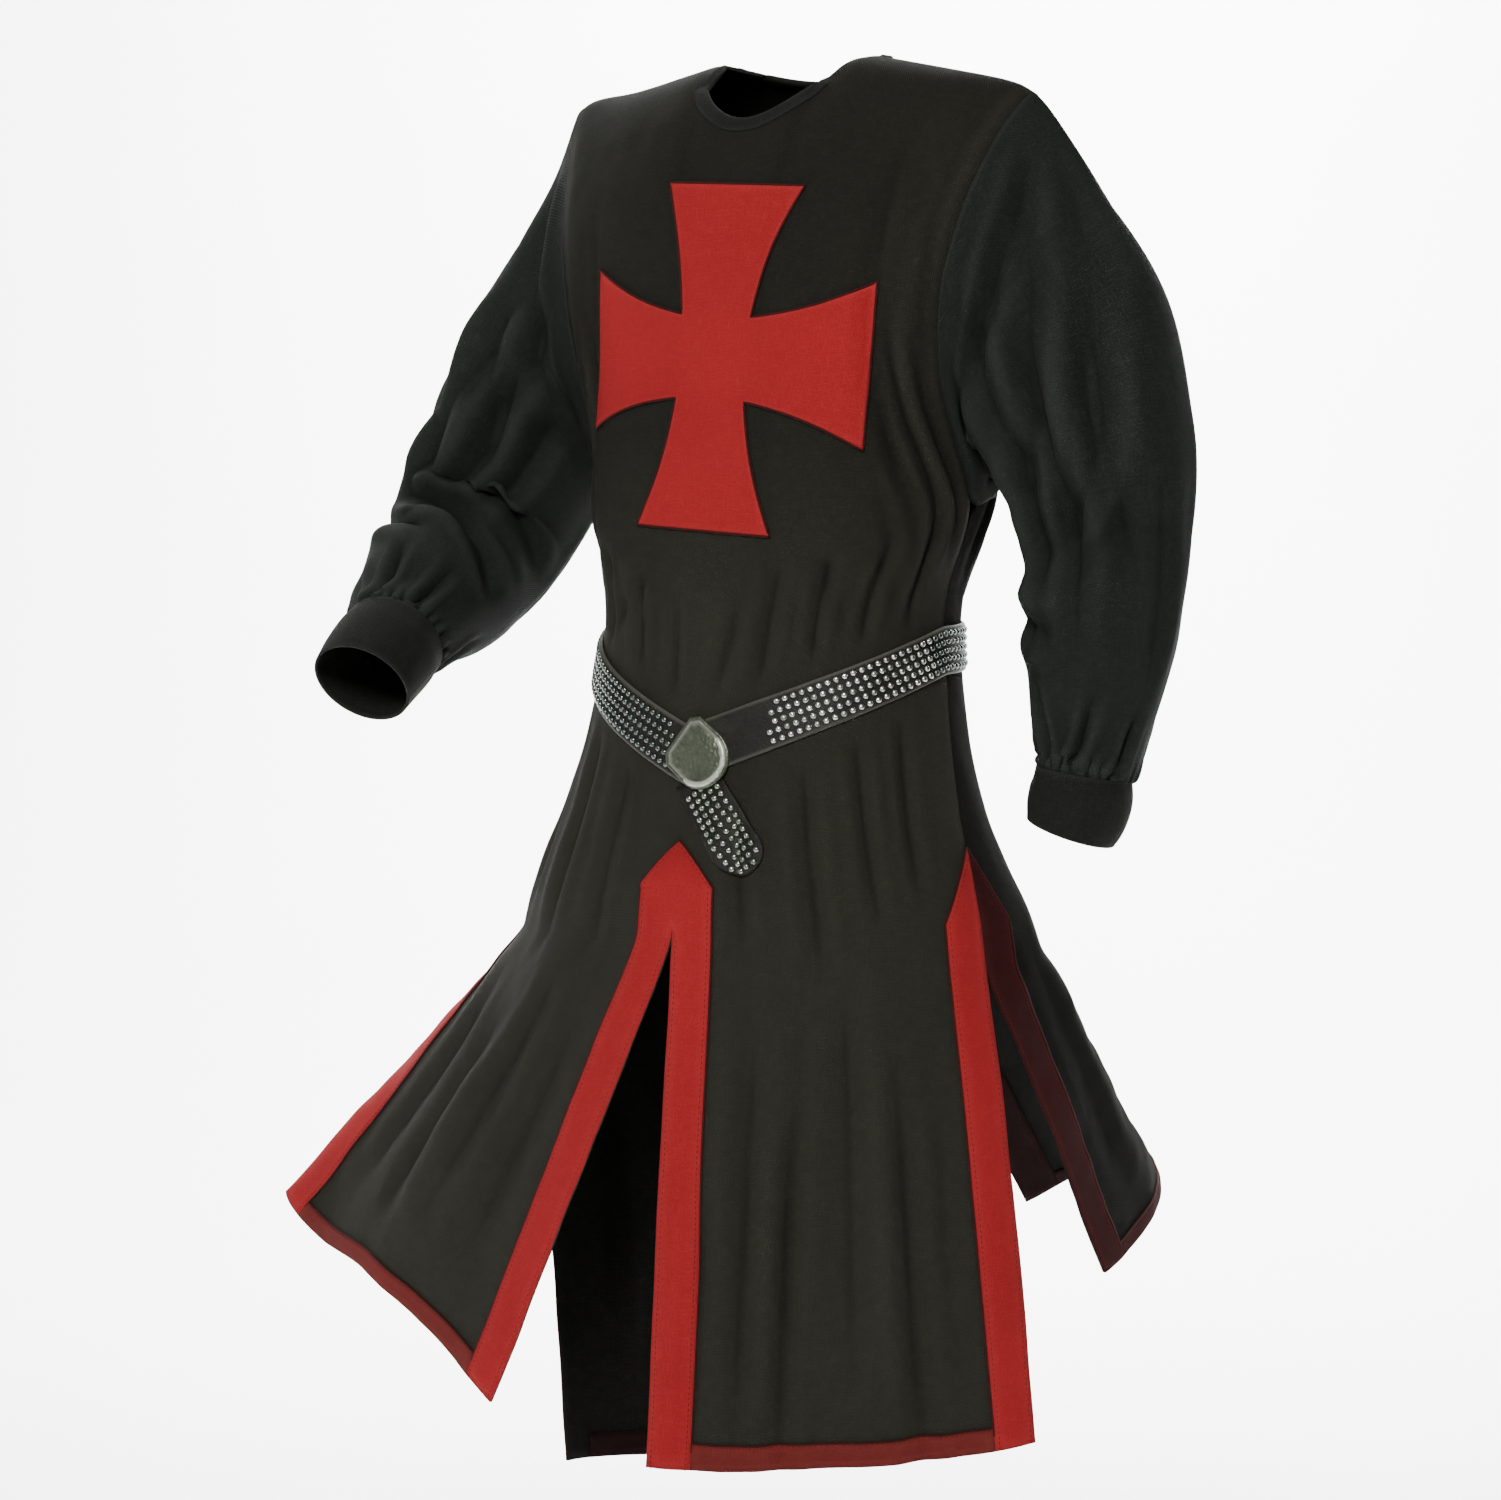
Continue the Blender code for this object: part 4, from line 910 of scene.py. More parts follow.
def arm_grids(sheets, side, rings, broad, creases):
    """Points of a sleeve from the armhole to its cuff, of the cuff, and of the cuff's outer side."""
    outward = 1.0 if side == "left" else -1.0
    front_column, back_column = (-1, 0) if side == "left" else (0, -1)
    loop = np.concatenate([sheets["front_" + side].plain[:BODICE_ROWS + 1, front_column],
                           sheets["back_" + side].plain[1:BODICE_ROWS, back_column][::-1]])
    count, middle = len(loop), loop.mean(axis=0)
    path = ((*middle, ARM_START, ARM_START),) + rings
    first = 1.0 / len(rings)
    seam = 1.0 - CUFF_SPANS * first
    turns = 360.0 * np.arange(count) / count
    pleats = sum(np.sin(np.radians(turns) * pitch + shift) for pitch, shift in PLEATS) / len(PLEATS)
    rows, fine = [loop], [np.zeros(count)]
    parts = np.arange(SLEEVE_ROWS + 1) / SLEEVE_ROWS
    for part in parts[1:]:
        share = seam * part
        lines = line_creases(creases, turns, np.full(count, part), ARM_METRES_A_DEGREE, SLEEVE_LENGTH)
        fine.append(np.clip(lines, -ARM_CREASE_MOST, ARM_CREASE_MOST) * between(part, CREASE_FADES))
        out = sum(fold.out * bump(apart(turns, fold.turn), fold.half_turn)
                  * bump(part - fold.share, fold.half_share) for fold in broad) * between(part, FOLD_FADES)
        gather = smooth((part - 1.0 + PLEAT_REACH) / PLEAT_REACH) * smooth((1.0 - part) / PLEAT_FADE)
        ring = arm_ring(path, max(share, first), outward, turns, out + PLEAT_OUT * pleats * gather)
        centre, start = (np.array(arm_place(path, at)[:3]) for at in (share, max(share, first)))
        size = smooth(share / (SLEEVE_HEAD * first))
        rows.append((loop - middle + centre) * (1.0 - size) + (ring + centre - start) * size)
    sleeve = np.array(rows)
    waves = ARM_WAVE_OUT * undulation(sleeve, ARM_WAVE_SCALE, ARM_WAVE_SEED + outward)
    out = waves * between(parts, WAVE_FADES)[:, None] + np.array(fine)
    sleeve = round_shoulders(sleeve - outward * grid_normals(sleeve, closed=True) * out[..., None])
    shares = seam + (1.0 - seam) * np.arange(1, CUFF_ROWS + 1) / CUFF_ROWS
    rings = [arm_ring(path, share, outward, turns, np.zeros(count)) for share in shares]
    cuff = np.array([sleeve[-1]] + rings)
    return sleeve, cuff, cuff - outward * grid_normals(cuff, closed=True) * CUFF_WALL


class Surface:
    """The front of the garment, moved out by `lift`, on which places across and heights are set."""

    def __init__(self, sheets, lift):
        halves = sheets["front_right"], sheets["front_left"]
        self.tree = search_tree([half.lifted(lift, slice(half.slit_row + 1)) for half in halves])

    def place(self, x, z):
        """Points of the surface at places across and heights, given as arrays."""
        made = [self.tree.ray_cast(Vector((across, RAY_START, height)), Vector((0.0, 1.0, 0.0)))[0]
                for across, height in zip(np.ravel(x), np.ravel(z))]
        return np.array(made).reshape(np.shape(x) + (3,))

    def outward(self, grid):
        """The surface's normals at points near it."""
        normals = nearest(self.tree, grid.reshape(-1, 3))[1].reshape(grid.shape)
        return normals * np.where(normals[..., 1:2] > 0.0, -1.0, 1.0)


def turned_places(places, tilt):
    """Places (across, up) of a flat pattern, turned by a tilt."""
    across, up = places[..., 0], places[..., 1]
    return across * math.cos(tilt) - up * math.sin(tilt), across * math.sin(tilt) + up * math.cos(tilt)


def chest_x(across, z):
    """Places across the chest, at height z, of points that lie `across` along the cloth."""
    rise = (z - ARMPIT) / (NECK_TOP - ARMPIT)
    turns = np.linspace(-CHEST_TURN, CHEST_TURN, ARC_SAMPLES + 1)
    line = bodice_point(FRONT, turns, rise) if rise > 0.0 else ring_point(FRONT, turns, z)
    lengths = lengths_along(line)
    return np.interp(across, lengths - np.interp(0.0, turns, lengths), line[:, 0])


def on_chest(surface, pattern):
    """Points of the chest at places (across, up) in the cross's own flat pattern."""
    aside, up = turned_places(pattern, CROSS_TILT)
    z = CROSS_MIDDLE[1] + up
    x = [CROSS_MIDDLE[0] + float(chest_x(across, height))
         for across, height in zip(np.ravel(aside), np.ravel(z))]
    return surface.place(np.reshape(x, z.shape), z)


def cross_arms():
    """Directions out along and across each arm of the cross."""
    return [(np.array([x, z]), np.array([-z, x])) for x, z in ((1, 0), (0, 1), (-1, 0), (0, -1))]


def cross_sizes(share):
    """Distance from the middle and half width of an arm of the cross at a share of the way out."""
    half = CROSS_WAIST + (CROSS_END - CROSS_WAIST) * share - CROSS_SIDE_BOW * np.sin(np.pi * share)
    return CROSS_WAIST + (CROSS_REACH - CROSS_WAIST) * share, half


def cross_patterns():
    """Flat grids of the cross's middle and its four arms."""
    wide = np.linspace(-1.0, 1.0, CROSS_CELLS + 1)
    across, shares = np.meshgrid(wide, np.linspace(0.0, 1.0, CROSS_CELLS + 1))
    length, half = cross_sizes(shares)
    return [np.stack(np.meshgrid(wide * CROSS_WAIST, -wide * CROSS_WAIST), axis=-1)] + [
        length[..., None] * ahead + (half * across)[..., None] * side for ahead, side in cross_arms()]


def cross_edge(inset):
    """The cross's outline in its flat pattern, drawn in by `inset`."""
    length, half = cross_sizes(np.linspace(0.0, 1.0, CROSS_CELLS + 1)[:, None])
    reach, half = CROSS_REACH - inset, half - inset
    length = np.clip(length, CROSS_WAIST - inset, reach)
    end = np.linspace(-1.0, 1.0, CROSS_CELLS + 1)[1:-1, None]
    line = []
    for ahead, side in cross_arms():
        line += [length * ahead - half * side, reach * ahead + end * half[-1] * side,
                 (length * ahead + half * side)[:0:-1]]
    return np.concatenate(line)


def cloth_body(home, sheets, material):
    """Front or back, cut in one from shoulder to hem and slit below the hip."""
    build = Build(*(sheet.form for name, sheet in sheets.items() if name.startswith(home)))
    return build.sew(home + "_cloth", material, "dark_cloth", [home + "_body"], CLOTH)


def slit_band(name, legs, sheets, material, slot, lift, nodes):
    """A band along the edges of a slit, each with its half of the gable over it; legs names the panels and
    whether the slit is at their last edge."""
    build = Build()
    for panel, at_last in legs:
        top, widths = sheets[panel].gable()
        lines = [sheets[panel].from_edge(at_last, top, widths * step / BAND_CELLS, lift)
                 for step in range(BAND_CELLS + 1)]
        build.grid(np.stack(lines[::-1] if at_last else lines, axis=1))
    return build.sew(name, material, slot, nodes, TRIM)


def band_edge(legs, sheets, lift, inset=0.0):
    """The line of a band's inner edge, up one leg, over the gable and down the other."""
    lines = []
    for panel, at_last in legs:
        top, widths = sheets[panel].gable()
        places = np.maximum(widths - inset * BAND_CELLS, 0.0)
        line = sheets[panel].from_edge(at_last, top, places, lift)
        lines.append(line[places > 0.0] if inset else line)
    return np.concatenate([lines[0][::-1], lines[1]])


def stitches(build, line, tree):
    """A row of small stitches along a line that lies on the cloth."""
    lengths = lengths_along(line)
    wanted = np.arange(0.5 * STITCH_PITCH, lengths[-1], STITCH_PITCH)
    places = at_lengths(line, lengths, wanted)
    ahead = unit(places - at_lengths(line, lengths, wanted - 0.5 * STITCH_PITCH))
    normals = nearest(tree, places)[1]
    ends, sides = ahead * STITCH_HALF, unit(np.cross(ahead, normals)) * STITCH_WIDE
    corners = [places - ends, places - sides, places + ends, places + sides, places + normals * STITCH_HIGH]
    for stitch in np.stack(corners, axis=1):
        build.add(stitch, [(0, 1, 4), (1, 2, 4), (2, 3, 4), (3, 0, 4)])


def belt_places(sheets, shares, lift):
    """Lines of points round the waist, one for each share of the way down the belt."""
    rings = []
    for share, out_by in zip(shares, np.broadcast_to(lift, np.shape(shares))):
        ring = []
        for sheet in sheets.values():
            place = sheet.level_row("belt_top") + share * LEVEL_STEPS
            row = min(int(place), sheet.level_row("belt_bottom") - 1)
            upper, lower = sheet.lifted(out_by, row), sheet.lifted(out_by, row + 1)
            ring.append((upper * (1.0 - (place - row)) + lower * (place - row))[:-1])
        rings.append(np.concatenate(ring))
    return np.array(rings)


def belt_strap(sheets, material):
    """The belt's strap: a flat leather band with rounded edges, closed round the waist."""
    profile = np.array(STRAP_PROFILE)
    grid = belt_places(sheets, profile[:, 0], OVER + BELT_WALL * profile[:, 1])
    Build(grid, closed=True).sew("belt_strap_leather", material, "belt_leather", ["belt_strap"])


def ring_faces(count, sides):
    """Faces of a dome of `count` rings, one inside the other, and its top."""
    faces = []
    for ring in range(count):
        for i in range(sides):
            low, after = ring * sides, (i + 1) % sides
            high = low + sides
            faces.append((low + i, low + after, high + after, high + i) if ring < count - 1
                         else (low + i, low + after, high))
    return faces


def stud(build, place, normal):
    """A small domed stud."""
    ring = circle(normal, STUD_SIDES) * STUD_RADIUS
    rings = [place + ring * size + normal * STUD_HEIGHT * share for size, share in STUD_PROFILE]
    faces = ring_faces(len(STUD_PROFILE), STUD_SIDES)
    build.add([*np.concatenate(rings), place + normal * STUD_HEIGHT], faces)


def strap_studs(sheets, bright, dull):
    """Studs in even rows round the strap, except where the buckle and its plain end are; those to the left of
    the buckle in front are bright, and the others are in the nickel darkened as painted shade."""
    shares = 0.5 + (np.arange(STUD_ROWS) - 0.5 * (STUD_ROWS - 1)) * STUD_PITCH / BELT_WIDTH
    rings, outer = (closed_up(belt_places(sheets, shares, lift))
                    for lift in (OVER + BELT_WALL, OVER + BELT_WALL + STUD_HEIGHT))
    lengths = lengths_along(rings[STUD_ROWS // 2])
    count = int(lengths[-1] / STUD_PITCH)
    for row in range(STUD_ROWS):
        wanted = np.arange(count) * lengths[-1] / count + 0.5 * STUD_PITCH * (row % 2)
        for at, tip in zip(at_lengths(rings[row], lengths, wanted), at_lengths(outer[row], lengths, wanted)):
            if at[1] >= 0.0 or not PLAIN_STRAP[0] < at[0] < PLAIN_STRAP[1]:
                build = bright if at[1] < BRIGHT_BEFORE and at[0] > PLAIN_STRAP[1] else dull
                stud(build, at, unit(tip - at))


def tongue_half(distance):
    """Half width of the belt's free end at a distance down it."""
    past = np.clip(distance - (TONGUE_LENGTH - TONGUE_HALF), 0.0, TONGUE_HALF)
    return np.sqrt(np.maximum(TONGUE_HALF**2 - past**2, 0.0))


def tongue_top(across):
    """Where the slanting top of the free end starts; across runs from -1 to 1."""
    return -0.5 * TONGUE_SLANT * (1.0 - across)


def on_tongue(surface, distance, across):
    """Points of the front at distances down the free end and aside from its middle."""
    places = TONGUE_TOP + distance[..., None] * TONGUE_AHEAD + across[..., None] * TONGUE_SIDE
    return surface.place(places[..., 0], places[..., 1])


def border(grid):
    """The points round a grid's edge."""
    return np.concatenate([grid[0], grid[1:, -1], grid[-1, -2::-1], grid[-2:0:-1, 0]])


def belt_tongue(surface, material):
    """The belt's free end, hanging under the buckle: a slab with a round tip and rounded outer edges."""
    down = 1.0 - (1.0 - np.linspace(0.0, 1.0, TONGUE_ROWS + 1)) ** TONGUE_CROWDING
    wide, down = np.meshgrid(np.sin(0.5 * np.pi * np.linspace(-1.0, 1.0, TONGUE_CELLS + 1)), down)
    distance = tongue_top(wide) * (1.0 - down) + down * TONGUE_LENGTH
    bottom = on_tongue(surface, distance, wide * tongue_half(down * TONGUE_LENGTH))
    height = np.full(wide.shape, TONGUE_WALL * (1.0 - TONGUE_EDGE))
    height[1:-1, 1:-1] = TONGUE_WALL
    top = bottom + surface.outward(bottom) * height[..., None]
    build = Build(top, turned=True)
    build.grid(bottom)
    build.grid(np.array([border(top), border(bottom)]), closed=True)
    build.sew("belt_tongue_leather", material, "belt_leather", ["belt_tongue"])


def tongue_studs(surface, build):
    """Studs in rows down the free end, clear of its edges."""
    for row in range(int((TONGUE_LENGTH + 0.5 * TONGUE_SLANT) / TONGUE_PITCH)):
        distance = TONGUE_LENGTH - TIP_STUD_INSET - row * TONGUE_PITCH
        for across in (np.arange(STUD_ROWS) - 0.5 * (STUD_ROWS - 1)) * TONGUE_PITCH:
            start = STUD_TOP_CLEAR * STUD_RADIUS + tongue_top(across / TONGUE_HALF)
            if abs(across) <= tongue_half(distance) - STUD_SIDE_CLEAR * STUD_RADIUS and distance >= start:
                at = on_tongue(surface, np.array([distance]), np.array([across]))
                normal = surface.outward(at)[0]
                stud(build, at[0] + normal * TONGUE_WALL, normal)


def buckle_arc(turn, inset=0.0):
    """Places of the buckle's round right end in its own plane, from -turn to turn degrees."""
    radius = BUCKLE_HEIGHT / 2.0 - inset
    angle = np.radians(np.linspace(-turn, turn, BUCKLE_ARC + 1))
    middle = (BUCKLE_WIDTH - BUCKLE_HEIGHT) / 2.0
    return np.stack([middle + radius * np.cos(angle), radius * np.sin(angle)], axis=1)


def buckle_outline():
    """Places round the buckle's plate in its own plane: square at its left end and round at its right."""
    arc, left, top = buckle_arc(90.0), -BUCKLE_WIDTH / 2.0, BUCKLE_HEIGHT / 2.0
    corners = np.array([arc[-1], (left + BUCKLE_CORNER, top), (left, top - BUCKLE_CORNER),
                        (left, BUCKLE_CORNER - top), (left + BUCKLE_CORNER, -top), arc[0]])
    steps = np.linspace(0.0, 1.0, BUCKLE_SIDE + 1)[1:, None]
    sides = [start * (1.0 - steps) + end * steps for start, end in zip(corners, corners[1:])]
    return np.concatenate([arc] + sides)[:-1]


def on_buckle(surface, places):
    """Points of the front at places of the buckle's own plane."""
    across, up = turned_places(places, -BUCKLE_TILT)
    return surface.place(BUCKLE_PLACE[0] + across, BUCKLE_PLACE[1] + up)


def buckle_plate(surface, material):
    """The domed plate of the buckle."""
    share, height = np.array(PLATE_RINGS).T[..., None, None]
    grid = on_buckle(surface, buckle_outline() * (1.0 - share * (1.0 - PLATE_HOLE)))
    grid = grid + surface.outward(grid) * (PLATE_LIFT + height)
    Build(grid, closed=True).sew("buckle_plate", material, "buckle_metal", ["belt_buckle"])


def buckle_rim(surface, material):
    """The raised round rim along the plate's round side."""
    line = on_buckle(surface, buckle_arc(RIM_TURN, RIM_INSET))
    line = line + surface.outward(line) * (PLATE_LIFT + RIM_LIFT)
    share = np.abs(np.linspace(-1.0, 1.0, BUCKLE_ARC + 1))
    build = Build()
    build.tube(line, RIM_RADIUS * np.sqrt(np.maximum(1.0 - share**RIM_TAPER, RIM_END)), RIM_SIDES)
    build.sew("buckle_rim_raised", material, "buckle_metal", ["buckle_rim"])


def neck_binding(sheets, material):
    """The narrow binding, folded over the neck's edge."""
    tree = whole_tree(sheets, 0.0)
    near, far = slice(0, NECK_CELLS), slice(CELLS - NECK_CELLS, CELLS)
    line = np.concatenate([sheets["front_left"].form[0, near], sheets["back_left"].form[0, far],
                           sheets["back_right"].form[0, near], sheets["front_right"].form[0, far]])
    ahead = unit(np.roll(line, -1, axis=0) - np.roll(line, 1, axis=0))
    normals = nearest(tree, line)[1]
    normals = unit(normals + np.roll(normals, 1, axis=0) + np.roll(normals, -1, axis=0))
    down = unit(np.cross(ahead, normals))
    down *= np.where(down[:, 2:3] > 0.0, -1.0, 1.0)
    rows = []
    for distance, out in BINDING_PROFILE:
        seat, normal = nearest(tree, line + down * max(distance, 0.0))
        rows.append(seat + down * min(distance, 0.0) + normal * out)
    build = Build(np.array(rows), closed=True)
    return build.sew("neck_binding_sewn", material, "dark_cloth", ["neck_binding"], BINDING_WALL)


def shaded(colour, share):
    return tuple(share * part for part in colour)


class Finish:
    """A material whose nodes are added one after another."""

    def __init__(self, name, roughness, **inputs):
        self.made = bpy.data.materials.new(name)
        self.made.use_nodes = True
        self.tree = self.made.node_tree
        self.shader = self.tree.nodes["Principled BSDF"]
        self.fill(self.shader, {"Roughness": roughness})
        self.fill(self.shader, {key.replace("_", " "): value for key, value in inputs.items()})

    def fill(self, node, inputs):
        """Links a node's inputs to other nodes, or sets them."""
        for key, value in inputs.items():
            if hasattr(value, "is_output"):
                self.tree.links.new(value, node.inputs[key])
            else:
                node.inputs[key].default_value = value

    def add(self, kind, inputs=None, **settings):
        node = self.tree.nodes.new("ShaderNode" + kind)
        for key, value in settings.items():
            setattr(node, key, value)
        self.fill(node, inputs or {})
        return node.outputs

    def flat(self):
        return self.add("UVMap", uv_map="weave")["UV"]

    def solid(self):
        return self.add("TexCoord")["Object"]

    def edges(self):
        return self.add("NewGeometry")["Pointiness"]

    def stretched(self, vector, scale):
        return self.add("Mapping", {"Vector": vector, "Scale": scale})["Vector"]

    def noise(self, vector, scale, detail=2.0):
        return self.add("TexNoise", {"Vector": vector, "Scale": scale, "Detail": detail})["Fac"]

    def ramp(self, value, low, high, to_low=0.0, to_high=1.0):
        return self.add("MapRange", {"Value": value, "From Min": low, "From Max": high, "To Min": to_low,
                                     "To Max": to_high})["Result"]

    def maths(self, operation, first, second=0.0):
        return self.add("Math", {0: first, 1: second}, operation=operation)["Value"]

    def blend(self, share, first, second):
        """Mixes two colours, each a socket or three parts."""
        first, second = ((*value, 1.0) if isinstance(value, tuple) else value for value in (first, second))
        return self.add("Mix", {0: share, 6: first, 7: second}, data_type="RGBA")[2]

    def relief(self, height, distance):
        normal = self.add("Bump", {"Height": height, "Distance": distance, "Strength": 1.0})["Normal"]
        self.fill(self.shader, {"Normal": normal})

    def done(self, colour, **inputs):
        self.fill(self.shader, {"Base Color": colour} | inputs)
        return self.made


def woven(name, colour, light, deep, red=False, dim=False, fades=False):
    """Plain-woven cloth: threads that pass over and under, slubs, flecks and slow fading, with painted shade
    in the creases' hollows and between the threads and painted highlight on the creases' ridges. Red cloth is
    finer, and dim cloth, darkened as painted shade, has no gloss."""
    pitch, relief, mottle, sheen = (0.0011, 0.0003, 0.25, 0.04) if red else (0.0012, 0.0004, 0.22, 0.03)
    tint = tuple(min(3.0 * part + 0.1, 1.0) for part in colour)
    finish = Finish(name, 0.9, Specular_IOR_Level=0.02 if dim else 0.07, Sheen_Weight=0.0 if dim else sheen,
                    Sheen_Roughness=0.6, Sheen_Tint=(*tint, 1.0))
    flat, solid = finish.flat(), finish.solid()
    wave = {"Vector": flat, "Scale": WAVE_TURN / pitch, "Distortion": 0.6, "Detail": 1.0, "Detail Scale": 0.4}
    warp, weft = (finish.add("TexWave", wave, bands_direction=way)["Fac"] for way in "XY")
    over = finish.add("TexChecker", {"Vector": flat, "Scale": 1.0 / pitch})["Fac"]
    long_x, long_y = finish.stretched(flat, (90.0, 1100.0, 1.0)), finish.stretched(flat, (1100.0, 90.0, 1.0))
    slub = finish.maths("MAXIMUM", finish.noise(long_x, 1.0), finish.noise(long_y, 1.0))
    threads = finish.add("Mix", {"Factor": over, "A": warp, "B": weft})["Result"]
    finish.relief(finish.maths("ADD", threads, finish.maths("MULTIPLY", slub, 0.9)), relief)
    fade = finish.ramp(finish.noise(solid, 7.0, 3.0), 0.3, 0.7)
    fleck = finish.ramp(finish.noise(flat, 620.0, 1.0), 0.35, 0.75)
    shade = finish.blend(fade, deep, colour)
    shade = finish.blend(finish.maths("MULTIPLY", fleck, mottle), shade, light)
    shade = finish.blend(finish.ramp(slub, 0.52, 0.74, 0.0, 0.45), shade, light)
    # The front grows lighter downwards from the chest.
    if fades:
        height = finish.add("SeparateXYZ", {"Vector": solid})["Z"]
        shade = finish.blend(finish.ramp(height, *LIGHTENING, 0.0, LIGHTENING_SHARE), shade, light)
    # Painted shade in the creases' hollows and painted highlight on their ridges, from the mesh's pointiness.
    painted_crease_light = finish.edges()
    shade = finish.blend(finish.ramp(painted_crease_light, 0.495, 0.455, 0.0, 0.55), shade, shaded(deep, 0.35))
    shade = finish.blend(finish.ramp(painted_crease_light, 0.505, 0.545, 0.0, 0.35), shade, light)
    # Painted shade in the gaps between the threads.
    shade = finish.blend(finish.ramp(threads, 0.0, 0.5, 0.45, 0.0), shade, shaded(colour, 0.35))
    return finish.done(shade, Roughness=finish.ramp(slub, 0.3, 0.8, 0.82, 0.96))


def thread(name, colour):
    """Tight satin stitches: fine ridges across the cord."""
    finish = Finish(name, 0.8, Specular_IOR_Level=0.1)
    wave = {"Vector": finish.flat(), "Scale": WAVE_TURN / SATIN_PITCH}
    ridges = finish.add("TexWave", wave, bands_direction="Y")["Fac"]
    # Painted shade in the grooves between the stitches.
    shade = finish.blend(ridges, shaded(colour, 0.45), colour)
    finish.relief(ridges, 0.0003)
    return finish.done(shade)


def belt_hide():
    """Dark green-black leather: fine grain, worn lighter along its ridges."""
    finish = Finish("belt_leather_waxed", 0.55, Specular_IOR_Level=0.12)
    solid = finish.solid()
    cells = finish.add("TexVoronoi", {"Vector": solid, "Scale": 900.0})["Distance"]
    pores = finish.noise(solid, 420.0, 4.0)
    finish.relief(finish.maths("ADD", finish.maths("MULTIPLY", cells, 0.5), pores), 0.0005)
    wear = finish.ramp(finish.noise(solid, 30.0, 4.0), 0.42, 0.68)
    edge = finish.ramp(finish.edges(), 0.51, 0.56)
    shade = finish.blend(wear, (0.0060, 0.0055, 0.0042), (0.012, 0.012, 0.009))
    shade = finish.blend(finish.maths("MULTIPLY", edge, 0.5), shade, (0.10, 0.10, 0.078))
    return finish.done(shade, Roughness=finish.ramp(pores, 0.3, 0.7, 0.42, 0.62))


def buckle_metal(name, deep, pale):
    """Olive-grey metal, hammered and dull, dark in its hollows."""
    finish = Finish(name, 0.45, Metallic=0.6)
    solid = finish.solid()
    dents = finish.add("TexVoronoi", {"Vector": solid, "Scale": 330.0}, feature="SMOOTH_F1")["Distance"]
    patina = finish.noise(solid, 130.0, 5.0)
    scratch = finish.noise(finish.stretched(solid, (900.0, 200.0, 200.0)), 1.0)
    finish.relief(finish.maths("ADD", dents, finish.maths("MULTIPLY", scratch, 0.25)), 0.0007)
    shade = finish.blend(finish.ramp(patina, 0.25, 0.75), deep, pale)
    shade = finish.blend(finish.ramp(finish.edges(), 0.5, 0.57), shade, (0.50, 0.51, 0.43))
    return finish.done(shade, Roughness=finish.ramp(patina, 0.3, 0.7, 0.5, 0.3))


def stud_metal(name, pale, deep, dark=None):
    """Nickel with more or less tarnish in patches; dark is the painted shade of the studs away from the
    belt's free end.
    """
    finish = Finish(name, 0.22, Metallic=1.0)
    solid = finish.solid()
    tarnish = finish.noise(solid, 160.0, 3.0)
    shade = finish.blend(finish.ramp(tarnish, 0.35, 0.65), pale, deep)
    # Painted shade: the studs darken away from the belt's free end.
    if dark:
        away = finish.maths("SUBTRACT", finish.add("SeparateXYZ", {"Vector": solid})["X"], TONGUE_MIDDLE)
        past = finish.ramp(finish.maths("ABSOLUTE", away), *TONGUE_REACH, 0.0, STUD_SHADE_SHARE)
        shade = finish.blend(past, shade, dark)
    return finish.done(shade, Roughness=finish.ramp(tarnish, 0.3, 0.7, 0.16, 0.36))


def studio_surface(name, colour):
    finish = Finish(name, 0.85)
    mottle = finish.ramp(finish.noise(finish.solid(), 3.0), 0.3, 0.7)
    return finish.done(finish.blend(mottle, colour, shaded(colour, 0.985)))


def direction(azimuth, elevation=0.0):
    """From the garment towards a place at an azimuth (0 is in front) and an elevation, in degrees."""
    az, el = math.radians(azimuth), math.radians(elevation)
    return Vector((math.sin(az) * math.cos(el), -math.cos(az) * math.cos(el), math.sin(el)))


def sweep(material):
    """Pale floor that curves up into a backdrop behind the garment."""
    turns = np.radians(np.linspace(0.0, 90.0, SWEEP_STEPS))
    profile = [(SWEEP_AHEAD, FLOOR), *((SWEEP_ROUND * (1.0 - math.sin(turn)) - SWEEP_BACK,
                                        SWEEP_ROUND * (1.0 - math.cos(turn)) + FLOOR) for turn in turns),
               (-SWEEP_BACK, SWEEP_TOP)]
    ahead, side = direction(CAMERA_AZIMUTH), direction(CAMERA_AZIMUTH + 90.0)
    verts = [ahead * forward + side * across + Vector((0.0, 0.0, z))
             for forward, z in profile for across in (-SWEEP_WIDE, SWEEP_WIDE)]
    faces = [(i, i + 1, i + 3, i + 2) for i in range(0, len(verts) - 2, 2)]
    mesh = bpy.data.meshes.new("studio_floor")
    mesh.from_pydata(verts, [], faces)
    for face in mesh.polygons:
        face.use_smooth = True
    mesh.materials.append(material)
    placed("studio_floor", mesh)


def aimed(name, data, place, towards):
    """A new camera or light at a place, looking along a direction."""
    made = placed(name, data)
    made.location = place
    made.rotation_euler = towards.to_track_quat("-Z", "Y").to_euler()
    return made


def set_camera():
    data = bpy.data.cameras.new("camera")
    data.lens = CAMERA_LENS
    data.sensor_width = CAMERA_SENSOR
    towards = direction(CAMERA_AZIMUTH, CAMERA_ELEVATION)
    bpy.context.scene.camera = aimed("camera", data, TARGET + towards * CAMERA_DISTANCE, -towards)


def set_lights():
    for light in LIGHTS:
        data = bpy.data.lights.new(light.name, "AREA")
        data.energy = light.power
        data.size = light.size
        place = TARGET + direction(light.azimuth, light.elevation) * light.distance
        aimed(light.name, data, place, Vector(light.aim) - place)
    world = bpy.data.worlds.new("studio")
    world.use_nodes = True
    background = world.node_tree.nodes["Background"].inputs
    background["Color"].default_value = (1.0, 1.0, 1.0, 1.0)
    background["Strength"].default_value = WORLD_LIGHT
    bpy.context.scene.world = world


